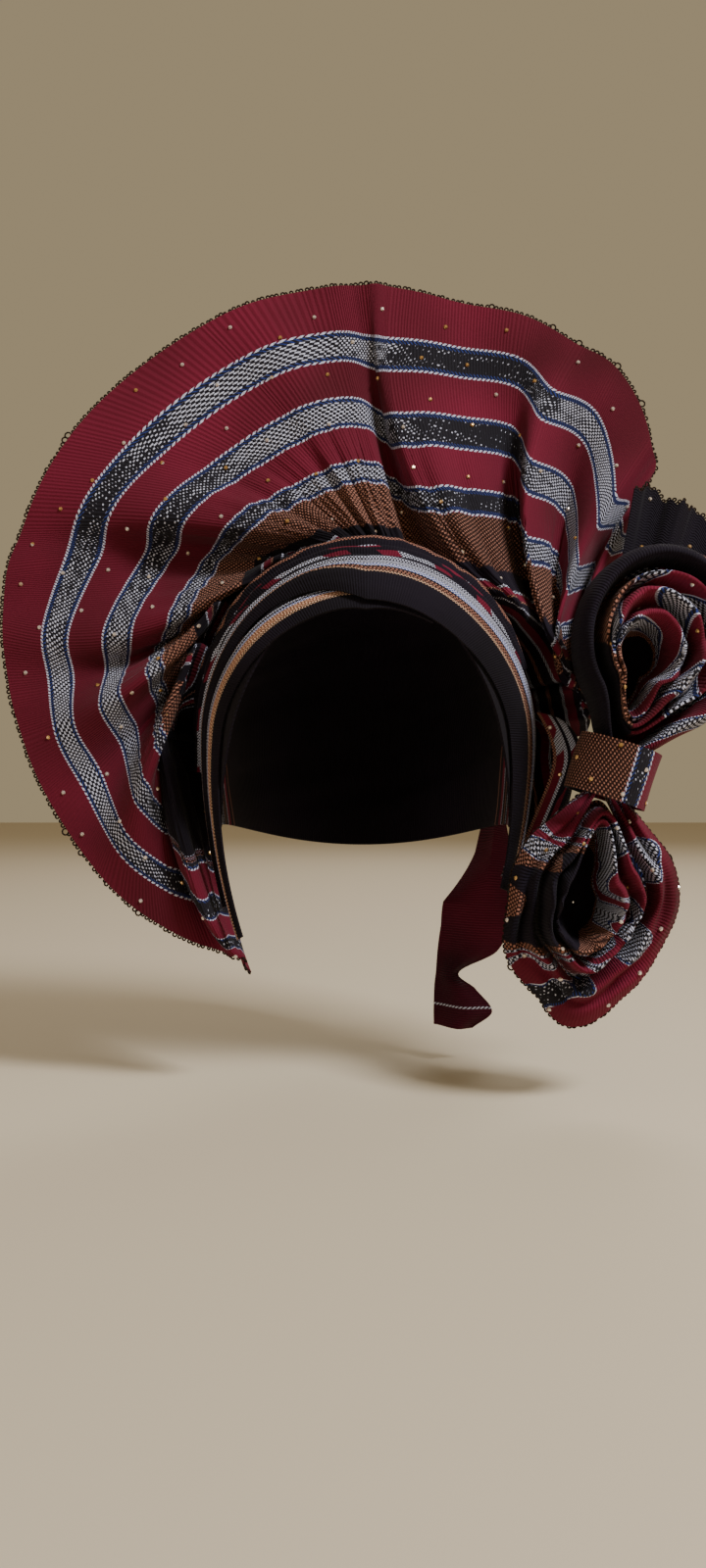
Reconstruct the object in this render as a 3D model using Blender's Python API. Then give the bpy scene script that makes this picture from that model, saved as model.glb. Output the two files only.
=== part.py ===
"""A tied head tie of striped hand-woven cloth.

One long cloth is wrapped round the head in narrow pleats, opened behind them into a big pleated
fan, and tied at the wearer's left into a two-part bow. Lengths are in metres. +Z is up, the face
looks towards -Y, and the origin lies in the middle of the head at the level of the brow.

Directions on the head and on the fan are given as a turn: degrees clockwise from the top, as seen
from the front. A spread is the angle away from the axis that the face looks along.
"""

import math
from collections import namedtuple

import bpy
import numpy as np

# The head that the cloth is wrapped on
HEAD_WIDTH = 0.150
HEAD_LENGTH = 0.206
CROWN_RISE = 0.090
JAW_DROP = 0.182
BROW_RISE = 0.050

# The cloth
CLOTH = 0.0012
GAP = 0.0004
FAN_CLOTH = 0.0015

# The wrap
PLEAT_SPREAD = 14.0
PLEAT_LIFT = 0.0085
PLEAT_SPACE = 0.20
UNDER_LIFT = 0.0013
CROWN_SPREAD = 16.5
CROWN_LIFT = 0.0105
CROWN_TURNS = (-104.0, 67.0)
HEM_FRONT = 35.0
HEM_BACK = -32.0
HEM_TURNS = (16.0, 76.0)

# The fan
FAN_REACH = 0.200
FOLD_DEPTH = 0.020
FAN_CENTRE_DROP = 0.024
FAN_SEAT_SPREAD = 101.0
SEAT_MARGIN = 7.0

# The bow: two round halves of folded cloth on either side of a knot
BOW_SIDE = 0.116
BOW_FRONT = 0.056
KNOT_DROP = 0.069
KNOT_LENGTH = 0.038
KNOT_WIDTH = 0.027
KNOT_DEPTH = 0.036
KNOT_TILT = 18.0
UPPER_WIDTH = 0.078
UPPER_HEIGHT = 0.090
UPPER_RISE = 0.061
UPPER_SHIFT = 0.022
LOWER_SIZE = 0.046
LOWER_DROP = 0.065
LOWER_SHIFT = -0.010
ROSETTE_DEPTH = 0.030
WAIST_REACH = 40.0
WAIST_INSET = 0.10
WAIST_SPACING = 0.80
WAIST_FOLD = 1.7
OUTER_WAIST = 1.0
INNER_WAIST = 0.55
END_WIDTH = 0.046
END_HEIGHT = 0.125
END_WAIST = 0.30
END_SLOPE = 0.10
END_CROWN = 0.05
END_FOLD = 0.004
END_LEAN = 0.038
END_BACK = 0.018

# The gathers between the head and the knot
SIDE_SPREAD = 30.0
SIDE_TURNS = (91.0, 137.0)
SIDE_RIDGES = 3
SIDE_BULGE = 0.028
SIDE_ROOT_ANGLE = -130.0
SIDE_PLUMP = 0.32
KNOT_TURN = 103.0
KNOT_PULL_TURN = 34.0
KNOT_PULL_WIDTH = 0.5

# The tail behind the jaw
TAIL_SEAT = (118.0, 108.0)
TAIL_WIDTH = 0.045
TAIL_LENGTH = 0.120
TAIL_FOLD = 0.004
TAIL_BACK = 0.5
TAIL_FORWARD = 0.3
TAIL_WRAP = 20.0
TAIL_TURN = 34.0
TAIL_FREE = 0.5
TAIL_HELD = (0.25, 0.45)

# How finely each piece is drawn
WRAP_STEPS = 32
WRAP_ROWS = 9
LEFT_STEPS = 33
RIGHT_STEPS = 37
CROWN_STEPS = 35
SIDE_STEPS = 21
SIDE_ROWS = 13
OUTER_STEPS = 30
INNER_STEPS = 26
KNOT_STEPS = 20
KNOT_ROWS = 4
END_ROWS = 8
END_STEPS = 7
TAIL_ROWS = 11
TAIL_STEPS = 7
FAN_STEPS = 3
FAN_ROWS = 10

Fold = namedtuple(
    "Fold",
    "rim_turn rim_reach rim_back mid_turn mid_reach mid_back ring_turn ring_reach ring_back",
)
# A row for each ridge or valley of the fan, clockwise from the tip at the jaw. Reaches are shares
# of FAN_REACH and depths are shares of FOLD_DEPTH, towards the back. The middle is MIDDLE of the
# way along the cloth from the rim to the ring.
MIDDLE = 0.47
FOLDS = (
    Fold(-158.5, 0.76, -1.0, -149, 0.65, -0.3, -127, 0.50, 0.4),
    Fold(-157, 0.755, -1.3, -144, 0.65, -1.1, -106, 0.51, -0.6),
    Fold(-155, 0.75, -1.7, -142, 0.67, -1.8, -106, 0.53, -1.2),
    Fold(-152, 0.76, -1.1, -125, 0.60, -0.6, -102, 0.52, 0.1),
    Fold(-144, 0.78, -1.2, -121, 0.60, -1.1, -97, 0.48, -0.2),
    Fold(-129, 0.81, -1.5, -113, 0.59, -1.7, -78, 0.43, -1.1),
    Fold(-115, 0.83, -1.0, -102, 0.59, -0.5, -77, 0.44, 0.3),
    Fold(-101, 0.86, -1.3, -93, 0.60, -1.6, -61, 0.41, -1.3),
    Fold(-91, 0.89, -0.9, -85, 0.60, -0.6, -61, 0.44, 0.2),
    Fold(-81, 0.92, -1.0, -77, 0.59, -1.2, -34, 0.37, -1.5),
    Fold(-72, 0.95, -0.5, -56, 0.59, -0.2, -33, 0.37, -0.6),
    Fold(-63, 0.96, -0.6, -48, 0.60, -1.1, -9, 0.33, -1.5),
    Fold(-48, 0.99, -0.2, -31, 0.61, -0.5, -2, 0.32, -1.3),
    Fold(-32, 1.01, 0.0, -19, 0.63, -0.4, 5, 0.32, -1.2),
    Fold(-18, 1.03, 0.1, -9, 0.65, -0.4, 11, 0.31, -1.2),
    Fold(-6, 1.04, 0.1, -1, 0.66, -0.3, 18, 0.31, -1.2),
    Fold(0, 1.04, 0.1, 6, 0.63, 0.2, 38, 0.31, -0.4),
    Fold(4, 1.04, 0.1, 10, 0.61, -0.6, 63, 0.41, -1.5),
    Fold(14, 1.03, 0.2, 24, 0.66, -0.2, 69, 0.44, -1.1),
    Fold(24, 1.05, 0.3, 34, 0.71, 0.4, 75, 0.48, -0.4),
    Fold(32, 1.05, 0.1, 40, 0.63, -0.8, 87, 0.49, -1.6),
    Fold(39, 1.05, 0.2, 50, 0.68, 0.2, 88, 0.53, -0.7),
    Fold(49, 0.98, -0.1, 66, 0.55, -1.2, 92, 0.52, -1.5),
    Fold(53, 0.94, 0.1, 66, 0.62, -0.1, 95, 0.54, -1.0),
    Fold(55, 0.88, -0.2, 72, 0.58, -1.1, 99, 0.55, -1.3),
    Fold(59, 0.86, 0.3, 70, 0.66, -0.1, 103, 0.57, -0.8),
)

Opening = namedtuple("Opening", "turn spread")
# Where the wrap's edge runs round the face: the spread at each turn, alike on both sides.
FACE_EDGE = (
    Opening(0, 34),
    Opening(30, 38.5),
    Opening(60, 48),
    Opening(90, 60),
    Opening(127, 69),
    Opening(151, 68),
    Opening(162, 63),
)

Band = namedtuple("Band", "turn start width base lift")
# How a pleat runs from the left jaw over the brow to the right: where it starts beyond the face
# edge and how wide it is, as shares of PLEAT_SPREAD, and how far its inner edge and its crest
# stand off the head, as shares of PLEAT_LIFT. The right pleat crosses over the left at the brow.
LEFT_BAND = (
    Band(-150, 0.02, 0.16, 0.02, 0.25),
    Band(-135, 0.02, 0.22, 0.02, 0.32),
    Band(-105, 0.02, 0.42, 0.02, 0.45),
    Band(-75, 0.02, 0.55, 0.02, 0.50),
    Band(-45, 0.02, 0.66, 0.02, 0.40),
    Band(-20, 0.02, 0.60, 0.02, 0.20),
    Band(5, 0.02, 0.46, 0.02, 0.12),
    Band(32, 0.02, 0.30, 0.02, 0.08),
)
RIGHT_BAND = (
    Band(-143, 0.36, 0.16, 0.20, 0.45),
    Band(-110, 0.60, 0.24, 0.30, 0.62),
    Band(-75, 0.72, 0.24, 0.40, 0.72),
    Band(-45, 0.82, 0.24, 0.45, 0.80),
    Band(-22, 0.62, 0.42, 0.42, 0.92),
    Band(0, 0.16, 0.86, 0.36, 1.00),
    Band(25, 0.04, 1.00, 0.28, 0.95),
    Band(48, 0.02, 1.00, 0.06, 0.95),
    Band(95, 0.02, 1.00, 0.02, 1.00),
    Band(120, 0.02, 0.62, 0.02, 0.80),
    Band(140, 0.02, 0.34, 0.02, 0.50),
)

Ridge = namedtuple("Ridge", "across lift")
# The section of a pleat from its edge on the face to where it folds back under itself
PLEAT_SECTION = (
    Ridge(0.00, 0.00),
    Ridge(0.30, 0.48),
    Ridge(0.70, 0.86),
    Ridge(1.00, 1.00),
    Ridge(1.10, 0.62),
)
# The section of the narrow pleats that lie over the crown, behind the first two
CROWN_SECTION = (
    Ridge(0.00, 0.04),
    Ridge(0.14, 0.60),
    Ridge(0.24, 0.44),
    Ridge(0.38, 0.80),
    Ridge(0.50, 0.56),
    Ridge(0.66, 0.95),
    Ridge(0.80, 0.80),
    Ridge(1.00, 0.04),
)

Contour = namedtuple("Contour", "share side rise front")
# The rings of the bow's upper half, from its outer foot to the dark hole: each is a share of the
# outline, moved sideways and up by a share of it, and brought forward by a share of the depth.
UPPER_OUTER = (
    Contour(1.00, 0.00, 0.00, 0.00),
    Contour(0.98, 0.00, 0.00, 0.60),
    Contour(0.88, 0.00, 0.00, 0.82),
    Contour(0.80, -0.01, 0.00, 0.30),
)
UPPER_INNER = (
    Contour(0.955, 0.00, 0.00, 0.04),
    Contour(0.74, -0.01, 0.00, 0.12),
    Contour(0.69, -0.01, 0.00, 0.84),
    Contour(0.60, -0.06, -0.03, 0.50),
    Contour(0.53, -0.12, -0.06, 1.00),
    Contour(0.44, -0.15, -0.09, 0.52),
    Contour(0.38, -0.19, -0.12, 0.92),
    Contour(0.30, -0.21, -0.13, 0.60),
    Contour(0.25, -0.22, -0.14, 0.02),
    Contour(0.06, -0.22, -0.14, -0.02),
)
LOWER_OUTER = (
    Contour(1.00, 0.00, 0.00, 0.26),
    Contour(0.90, 0.00, 0.02, 0.56),
    Contour(0.80, 0.00, 0.04, 0.34),
    Contour(0.72, 0.00, 0.05, 0.70),
    Contour(0.66, 0.00, 0.06, 0.26),
)
LOWER_INNER = (
    Contour(0.72, -0.01, 0.06, -0.02),
    Contour(0.61, -0.01, 0.06, 0.11),
    Contour(0.53, -0.02, 0.05, 0.90),
    Contour(0.44, -0.04, 0.04, 0.50),
    Contour(0.36, -0.08, 0.03, 0.94),
    Contour(0.24, -0.14, 0.05, 0.06),
    Contour(0.05, -0.14, 0.05, 0.00),
)
Hang = namedtuple("Hang", "down inner outer")
# The two lobes of the tail: how far its edges lie from its seat, as shares of TAIL_WIDTH
HANG = (
    Hang(0.00, -0.40, 0.30),
    Hang(0.30, -0.60, 0.22),
    Hang(0.55, -0.66, 0.12),
    Hang(0.66, -0.70, -0.04),
    Hang(0.76, -0.72, -0.46),
    Hang(0.82, -0.74, -0.28),
    Hang(0.92, -0.75, -0.08),
    Hang(1.00, -0.75, -0.30),
)
Radius = namedtuple("Radius", "turn reach")
# The outline of the bow's lower half, with its free corner at the bottom, as shares of LOWER_SIZE
LOWER_OUTLINE = (
    Radius(0, 0.93),
    Radius(42, 0.98),
    Radius(80, 0.92),
    Radius(120, 0.82),
    Radius(160, 0.96),
    Radius(190, 1.22),
    Radius(212, 1.04),
    Radius(240, 0.98),
    Radius(272, 0.84),
    Radius(305, 0.90),
    Radius(332, 0.98),
)


def clear_scene():
    for thing in list(bpy.data.objects):
        bpy.data.objects.remove(thing)


def cloth_material(name, colour, roughness=0.85):
    """A matt woven finish of one colour."""
    material = bpy.data.materials.new(name)
    material.use_nodes = True
    shader = material.node_tree.nodes["Principled BSDF"]
    shader.inputs["Base Color"].default_value = (*colour, 1)
    shader.inputs["Roughness"].default_value = roughness
    shader.inputs["Metallic"].default_value = 0
    return material


def smooth_between(values, places, closed=False):
    """A smooth curve through evenly numbered rows, read at the given places along them."""
    values = np.asarray(values, float)
    count = len(values)
    start = np.floor(places).astype(int)
    if not closed:
        start = np.clip(start, 0, count - 2)
    along = (places - start).reshape(-1, *[1] * (values.ndim - 1))

    def row(number):
        if closed:
            return values[number % count]
        inside = values[np.clip(number, 0, count - 1)]
        before = 2 * values[0] - values[1]
        after = 2 * values[-1] - values[-2]
        low = (number < 0).reshape(along.shape)
        high = (number >= count).reshape(along.shape)
        return np.where(low, before, np.where(high, after, inside))

    a, b, c, d = (row(start + step) for step in (-1, 0, 1, 2))
    return 0.5 * (
        2 * b
        + (c - a) * along
        + (2 * a - 5 * b + 4 * c - d) * along**2
        + (3 * b - a - 3 * c + d) * along**3
    )


def smooth_table(rows, where):
    """Reads a table whose first column is a position: a smooth curve through the other columns."""
    rows = np.asarray(rows, float)
    place = np.interp(where, rows[:, 0], np.arange(len(rows)))
    return smooth_between(rows[:, 1:], np.ravel(place)).reshape(*np.shape(where), -1)


def bell(distance):
    """1 in the middle, 0 at a distance of 1 and beyond, with no corner between."""
    return np.cos(np.pi / 2 * np.clip(np.abs(distance), 0, 1)) ** 2


def on_head(turn, spread, lift):
    """The point of the head at a turn and a spread, raised off it by lift."""
    turn, spread = np.radians(turn), np.radians(spread)
    half_width, half_length = HEAD_WIDTH / 2, HEAD_LENGTH / 2
    half_height = np.where(np.cos(turn) > 0, CROWN_RISE, JAW_DROP)
    outline = 1 / np.hypot(np.sin(turn) / half_width, np.cos(turn) / half_height)
    x = outline * np.sin(turn) * np.sin(spread)
    y = -half_length * np.cos(spread)
    z = outline * np.cos(turn) * np.sin(spread)
    normal = np.stack([x / half_width**2, y / half_length**2, z / half_height**2], -1)
    normal /= np.linalg.norm(normal, axis=-1, keepdims=True)
    point = np.stack([x, y, z - BROW_RISE], -1)
    return point + normal * np.asarray(lift)[..., None]


def clear_of_head(points, lift):
    """Moves points outwards from the head's middle where they come closer to it than lift."""
    middle = np.array([0, 0, -BROW_RISE])
    apart = points - middle
    half_height = np.where(apart[..., 2] > 0, CROWN_RISE, JAW_DROP)
    scaled = np.stack(
        [
            apart[..., 0] / (HEAD_WIDTH / 2 + lift),
            apart[..., 1] / (HEAD_LENGTH / 2 + lift),
            apart[..., 2] / (half_height + lift),
        ],
        -1,
    )
    inside = np.linalg.norm(scaled, axis=-1, keepdims=True)
    return middle + apart / np.minimum(inside, 1)


def face_edge(turn):
    """The spread at which the wrap's edge runs round the face."""
    return smooth_table(FACE_EDGE, np.abs(turn))[..., 0]


def grid_normals(grid, closed):
    along = (
        np.roll(grid, -1, 0) - np.roll(grid, 1, 0) if closed else np.gradient(grid, axis=0)
    )
    across = np.gradient(grid, axis=1)
    normal = np.cross(along, across)
    return normal / np.maximum(np.linalg.norm(normal, axis=-1, keepdims=True), 1e-12)


def quads(a, b, c, d):
    """Four-sided faces from four equal grids of vertex numbers."""
    return np.stack([a, b, c, d], -1).reshape(-1, 4).tolist()


def add_solid(name, points, faces, material):
    mesh = bpy.data.meshes.new(name)
    mesh.from_pydata(points.reshape(-1, 3).tolist(), [], faces)
    mesh.materials.append(material)
    mesh.shade_smooth()
    solid = bpy.data.objects.new(name, mesh)
    bpy.context.scene.collection.objects.link(solid)


def wall_sides(top, under):
    """The faces of a wall's two broad sides, from its grids of vertex numbers."""
    faces = quads(top[:-1, :-1], top[1:, :-1], top[1:, 1:], top[:-1, 1:])
    return faces + quads(under[:-1, :-1], under[:-1, 1:], under[1:, 1:], under[1:, :-1])


def cloth_wall(name, grid, thickness, material, closed=False):
    """A wall of cloth on a grid of points: two faces half the thickness to each side of it."""
    offset = grid_normals(grid, closed) * thickness / 2
    top, under = np.arange(2 * grid[..., 0].size).reshape(2, *grid.shape[:2])
    if closed:
        top, under = (np.concatenate([side, side[:1]]) for side in (top, under))
    faces = wall_sides(top, under)
    faces += quads(top[:-1, 0], under[:-1, 0], under[1:, 0], top[1:, 0])
    faces += quads(top[:-1, -1], top[1:, -1], under[1:, -1], under[:-1, -1])
    if not closed:
        faces += quads(top[0, :-1], top[0, 1:], under[0, 1:], under[0, :-1])
        faces += quads(top[-1, :-1], under[-1, :-1], under[-1, 1:], top[-1, 1:])
    add_solid(name, np.concatenate([grid + offset, grid - offset]), faces, material)


def dome(name, grid, thickness, material):
    """A closed wall like cloth_wall, round a ring, whose last row shrinks to one point."""
    offset = grid_normals(grid, True) * thickness / 2
    sides = [(grid + offset)[:, :-1], (grid - offset)[:, :-1]]
    top, under = np.arange(2 * sides[0][..., 0].size).reshape(2, *sides[0].shape[:2])
    summit = 2 * top.size
    top, under = (np.concatenate([side, side[:1]]) for side in (top, under))
    faces = wall_sides(top, under)
    faces += quads(top[:-1, 0], under[:-1, 0], under[1:, 0], top[1:, 0])
    faces += np.stack(np.broadcast_arrays(top[:-1, -1], top[1:, -1], summit), -1).tolist()
    faces += np.stack(
        np.broadcast_arrays(under[1:, -1], under[:-1, -1], summit + 1), -1
    ).tolist()
    middle = grid[:, -1].mean(0)
    rise = np.array([0, 0, thickness / 2])
    points = [*(side.reshape(-1, 3) for side in sides), [middle + rise, middle - rise]]
    add_solid(name, np.concatenate(points), faces, material)


def fan_point(turn, reach, back):
    """A point of the fan, polar about its middle as seen from the front."""
    turn = np.radians(turn)
    x = FAN_REACH * reach * np.sin(turn)
    z = FAN_REACH * reach * np.cos(turn) - FAN_CENTRE_DROP
    return np.stack([x, FOLD_DEPTH * back, z], -1)


def fan_grid(fold_steps, cloth_rows):
    """The fan from its tip at the jaw to the bow, and from its rim to its seat on the head.

    Across the folds a smooth curve runs through the rows of the table. Along a fold a curve runs
    through its rim, its middle and its ring, and then bends back to its seat on the head.
    """
    places = np.linspace(0, len(FOLDS) - 1, (len(FOLDS) - 1) * fold_steps + 1)
    rows = smooth_between(np.array(FOLDS), places)
    rim, middle, ring = (fan_point(*rows[:, i : i + 3].T) for i in (0, 3, 6))
    along = np.linspace(0, 1, cloth_rows)[None, :, None]
    weight_rim = (along - MIDDLE) * (along - 1) / MIDDLE
    weight_middle = along * (1 - along) / (MIDDLE * (1 - MIDDLE))
    weight_ring = along * (along - MIDDLE) / (1 - MIDDLE)
    visible = (
        weight_rim * rim[:, None]
        + weight_middle * middle[:, None]
        + weight_ring * ring[:, None]
    )
    seat = fan_seat(ring)
    tuck = clear_of_head((ring + seat) / 2, 2 * seat_lift())
    hidden = np.stack([tuck, seat], 1)
    return clear_of_head(np.concatenate([visible, hidden], 1), seat_lift())


def fan_seat(ring):
    """Where the cloth behind the fan's ring comes down on the wrap round the head."""
    turn = np.degrees(np.arctan2(ring[:, 0], ring[:, 2] + BROW_RISE))
    return on_head(turn, np.full_like(turn, FAN_SEAT_SPREAD), np.full_like(turn, seat_lift()))


def seat_lift():
    return UNDER_LIFT + CLOTH / 2 + GAP + FAN_CLOTH / 2


def pleat_grid(band, steps):
    """A pleat round the face: its section is carried along the turns of its band."""
    turns = np.linspace(band[0].turn, band[-1].turn, steps)[:, None]
    start, width, base, crest = np.moveaxis(smooth_table(band, turns), -1, 0)
    across, height = np.array(PLEAT_SECTION).T
    spread = face_edge(turns) + PLEAT_SPREAD * (start + width * across)
    rise = base + (crest - base) * height
    return on_head(turns + 0 * spread, spread, UNDER_LIFT + CLOTH + GAP + PLEAT_LIFT * rise)


def hem_height(azimuth):
    """The elevation of the wrap's lower edge, from over the brow down behind the ears."""
    share = np.clip((np.abs(azimuth) - HEM_TURNS[0]) / np.ptp(HEM_TURNS), 0, 1)
    return HEM_BACK + (HEM_FRONT - HEM_BACK) * (1 - share * share * (3 - 2 * share))


def make_head_wrap(material):
    """The plain body of the wrap: a dome over the crown, down to a hem round the head."""
    azimuth = np.linspace(-180, 180, WRAP_STEPS, endpoint=False)[:, None]
    low = hem_height(azimuth)
    elevation = np.radians(low + (90 - low) * np.linspace(0, 0.99, WRAP_ROWS))
    around = np.radians(azimuth) + 0 * elevation
    flat = np.cos(elevation)
    direction = np.stack([flat * np.sin(around), -flat * np.cos(around), np.sin(elevation)], -1)
    half_height = np.where(direction[..., 2] > 0, CROWN_RISE, JAW_DROP)
    half_sizes = np.stack(
        [0 * flat + HEAD_WIDTH / 2, 0 * flat + HEAD_LENGTH / 2, half_height], -1
    )
    radius = 1 / np.linalg.norm(direction / half_sizes, axis=-1) + UNDER_LIFT
    dome("head_wrap", direction * radius[..., None] - [0, 0, BROW_RISE], CLOTH, material)


def crown_start(turns):
    """The spread at which the pleats behind the brow pleats start."""
    rows = [
        (row.turn, row.start + PLEAT_SECTION[-1].across * row.width + PLEAT_SPACE)
        for row in RIGHT_BAND
    ]
    return face_edge(turns) + smooth_table(rows, turns)[..., 0] * PLEAT_SPREAD


def make_crown_wrap(material):
    """The narrow pleats behind the brow pleats, from the left cheek to beside the bow."""
    turns = np.linspace(*CROWN_TURNS, CROWN_STEPS)[:, None]
    across, height = np.array(CROWN_SECTION).T
    start = crown_start(turns)
    room = np.minimum(CROWN_SPREAD, FAN_SEAT_SPREAD - SEAT_MARGIN - start)
    spread = start + room * across
    lift = UNDER_LIFT + CLOTH + CROWN_LIFT * height + 0 * spread
    cloth_wall("crown_wrap", on_head(turns + 0 * spread, spread, lift), CLOTH, material)


def round_outline(turn):
    return np.ones_like(turn)


def cornered_outline(turn):
    rows = np.array(LOWER_OUTLINE + (Radius(360, LOWER_OUTLINE[0].reach),), float)
    place = np.interp(turn, rows[:, 0], np.arange(len(rows)))
    return smooth_between(rows[:-1, 1:], place, closed=True)[:, 0]


def knot_centre():
    return np.array([BOW_SIDE, -BOW_FRONT, -KNOT_DROP])


def knot_axis():
    """The bow's own direction, from its lower half through the knot to its upper half."""
    tilt = math.radians(KNOT_TILT)
    return np.array([math.sin(tilt), 0, math.cos(tilt)])


def rosette_back():
    return -BOW_FRONT + ROSETTE_DEPTH / 2 - 3 * CLOTH


def upper_centre():
    return np.array([BOW_SIDE + UPPER_SHIFT, rosette_back(), -KNOT_DROP + UPPER_RISE])


def lower_centre():
    return np.array([BOW_SIDE + LOWER_SHIFT, rosette_back(), -KNOT_DROP - LOWER_DROP])


def rosette_grid(centre, size, outline, contours, steps, waist):
    """Nested rings that all run through the knot, one for each contour from the outside in.

    Near the knot each ring is drawn in to the waist, which lies inside the knot's strip, by the
    share waist.
    """
    towards = knot_centre() - centre
    knot_turn = math.degrees(math.atan2(towards[0], towards[2])) % 360
    turn = (knot_turn + np.linspace(0, 360, steps, endpoint=False)) % 360
    share, side, rise, front = np.array(contours).T
    radius = outline(turn)[:, None] * share
    angle = np.radians(turn)[:, None]
    x = centre[0] + size[0] / 2 * (radius * np.sin(angle) + side)
    z = centre[2] + size[1] / 2 * (radius * np.cos(angle) + rise)
    y = centre[1] - ROSETTE_DEPTH * front + 0 * x
    ring = np.stack([x, y, z], -1)
    apart = (turn - knot_turn + 180) % 360 - 180
    pull = waist * bell(apart / WAIST_REACH)
    end = knot_axis() * (1 if centre[2] > -KNOT_DROP else -1)
    inset = KNOT_WIDTH * (WAIST_INSET + WAIST_SPACING * (1 - share))
    target = knot_centre() + end * inset[:, None]
    half_depth = KNOT_DEPTH / 2 - CLOTH - GAP
    target[:, 1] += half_depth * (1 - WAIST_FOLD * np.maximum(front - front[0], 0))
    return ring + (target - ring) * pull[:, None, None]


def make_rosettes(navy, tan, red):
    upper = (upper_centre(), (UPPER_WIDTH, UPPER_HEIGHT), round_outline)
    lower = (lower_centre(), (2 * LOWER_SIZE, 2 * LOWER_SIZE), cornered_outline)
    grid = rosette_grid(*upper, UPPER_OUTER, OUTER_STEPS, OUTER_WAIST)
    cloth_wall("upper_loop_outer", grid, CLOTH, navy, closed=True)
    grid = rosette_grid(*upper, UPPER_INNER, INNER_STEPS, INNER_WAIST)
    cloth_wall("upper_loop_inner", grid, CLOTH, tan, closed=True)
    grid = rosette_grid(*lower, LOWER_OUTER, OUTER_STEPS, OUTER_WAIST)
    cloth_wall("lower_loop_outer", grid, CLOTH, red, closed=True)
    grid = rosette_grid(*lower, LOWER_INNER, INNER_STEPS, INNER_WAIST)
    cloth_wall("lower_loop_inner", grid, CLOTH, tan, closed=True)


def knot_aside():
    """Straight across the bow's direction, level with its face."""
    axis = knot_axis()
    return np.array([axis[2], 0, -axis[0]])


def make_knot_band(material):
    """The strip round the bow's waist: an oval ring along the bow's axis."""
    angle = np.linspace(0, 2 * math.pi, KNOT_STEPS, endpoint=False)[:, None, None]
    across = np.linspace(-0.5, 0.5, KNOT_ROWS)[None, :, None]
    ring = np.sin(angle) * knot_aside() * KNOT_LENGTH / 2
    ring = ring - np.cos(angle) * np.array([0, 1, 0]) * KNOT_DEPTH / 2
    grid = knot_centre() + ring + across * knot_axis() * KNOT_WIDTH
    cloth_wall("knot_band", grid, CLOTH, material, closed=True)


def side_root():
    """The point behind the knot where the gathers of the right side meet its strip."""
    angle = math.radians(SIDE_ROOT_ANGLE)
    outward = knot_aside() * math.sin(angle) * KNOT_LENGTH / 2
    outward = outward - np.array([0, 1, 0]) * math.cos(angle) * KNOT_DEPTH / 2
    away = outward / np.linalg.norm(outward) * (CLOTH + GAP)
    return knot_centre() + outward + away


def make_side_folds(material):
    """The gathers of the wrap at the right: from the head they are drawn out to the knot."""
    turns = np.linspace(*SIDE_TURNS, SIDE_STEPS)[:, None]
    across = np.linspace(0, 1, SIDE_ROWS)
    start = crown_start(turns)
    room = np.minimum(SIDE_SPREAD, FAN_SEAT_SPREAD - SEAT_MARGIN - start)
    spread = start + room * across
    ridges = 0.5 - 0.5 * np.cos(2 * np.pi * SIDE_RIDGES * across)
    plump = bell((turns - np.mean(SIDE_TURNS)) / (np.ptp(SIDE_TURNS) / 2)) ** SIDE_PLUMP
    swell = SIDE_BULGE * np.sin(np.pi * across**0.8) + CROWN_LIFT * (0.2 + 0.35 * ridges)
    lift = UNDER_LIFT + 1.5 * CLOTH + plump * swell
    grid = on_head(turns + 0 * spread, spread, lift)
    pull = bell((turns - KNOT_TURN) / KNOT_PULL_TURN) * bell((across - 1 / 3) / KNOT_PULL_WIDTH)
    grid = grid + (side_root() - grid) * (pull**1.3)[..., None]
    cloth_wall("side_folds", grid, CLOTH, material)


def make_bow_end(material):
    """The loose end that stands up behind the bow's upper half."""
    up = np.linspace(0, 1, END_ROWS)[:, None]
    across = np.linspace(-1, 1, END_STEPS)[None, :]
    half = END_WIDTH / 2 * (END_WAIST + (1 - END_WAIST) * up**0.7)
    root = knot_centre() + knot_axis() * KNOT_WIDTH * 0.4
    back = KNOT_DEPTH / 2 + CLOTH + GAP
    x = root[0] + half * across + END_LEAN * up
    y = root[1] + back + (END_BACK - END_FOLD * np.cos(2 * np.pi * across)) * up + 0 * x
    z = root[2] + END_HEIGHT * up * (1 - END_SLOPE * across - END_CROWN * across**2)
    cloth_wall("bow_end", np.stack([x, y, z], -1), CLOTH, material)


def make_neck_tail(material):
    """The end of the cloth that hangs behind the jaw at the right, in two lobes.

    It starts flat on the wrap and, half way down, hangs free of it.
    """
    down = np.linspace(0, 1, TAIL_ROWS)[:, None]
    across = np.linspace(0, 1, TAIL_STEPS)[None, :]
    inner, outer = np.moveaxis(smooth_table(HANG, down), -1, 0)
    share = inner + (outer - inner) * across
    turn, spread = TAIL_SEAT
    seat = on_head(np.array(turn), np.array(spread), np.array(seat_lift()))
    x = seat[0] + TAIL_WIDTH * share
    y = seat[1] - TAIL_WIDTH * (TAIL_BACK * share + TAIL_FORWARD * down)
    y = y + TAIL_FOLD * np.cos(2 * np.pi * across) * down
    z = seat[2] - TAIL_LENGTH * down + 0 * share
    spreads = spread - TAIL_WRAP * (share + 0.4 * down)
    flat = on_head(turn + TAIL_TURN * down + 0 * share, spreads, seat_lift() + 0 * share)
    free = np.clip(down / TAIL_FREE, 0, 1)[..., None]
    free = free * free * (3 - 2 * free)
    grid = flat + (np.stack([x, y, z], -1) - flat) * free
    held = np.clip((TAIL_HELD[1] - down) / np.ptp(TAIL_HELD), 0, 1)[..., None]
    grid = grid + (clear_of_head(grid, seat_lift()) - grid) * held
    cloth_wall("neck_tail", grid, CLOTH, material)


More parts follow.
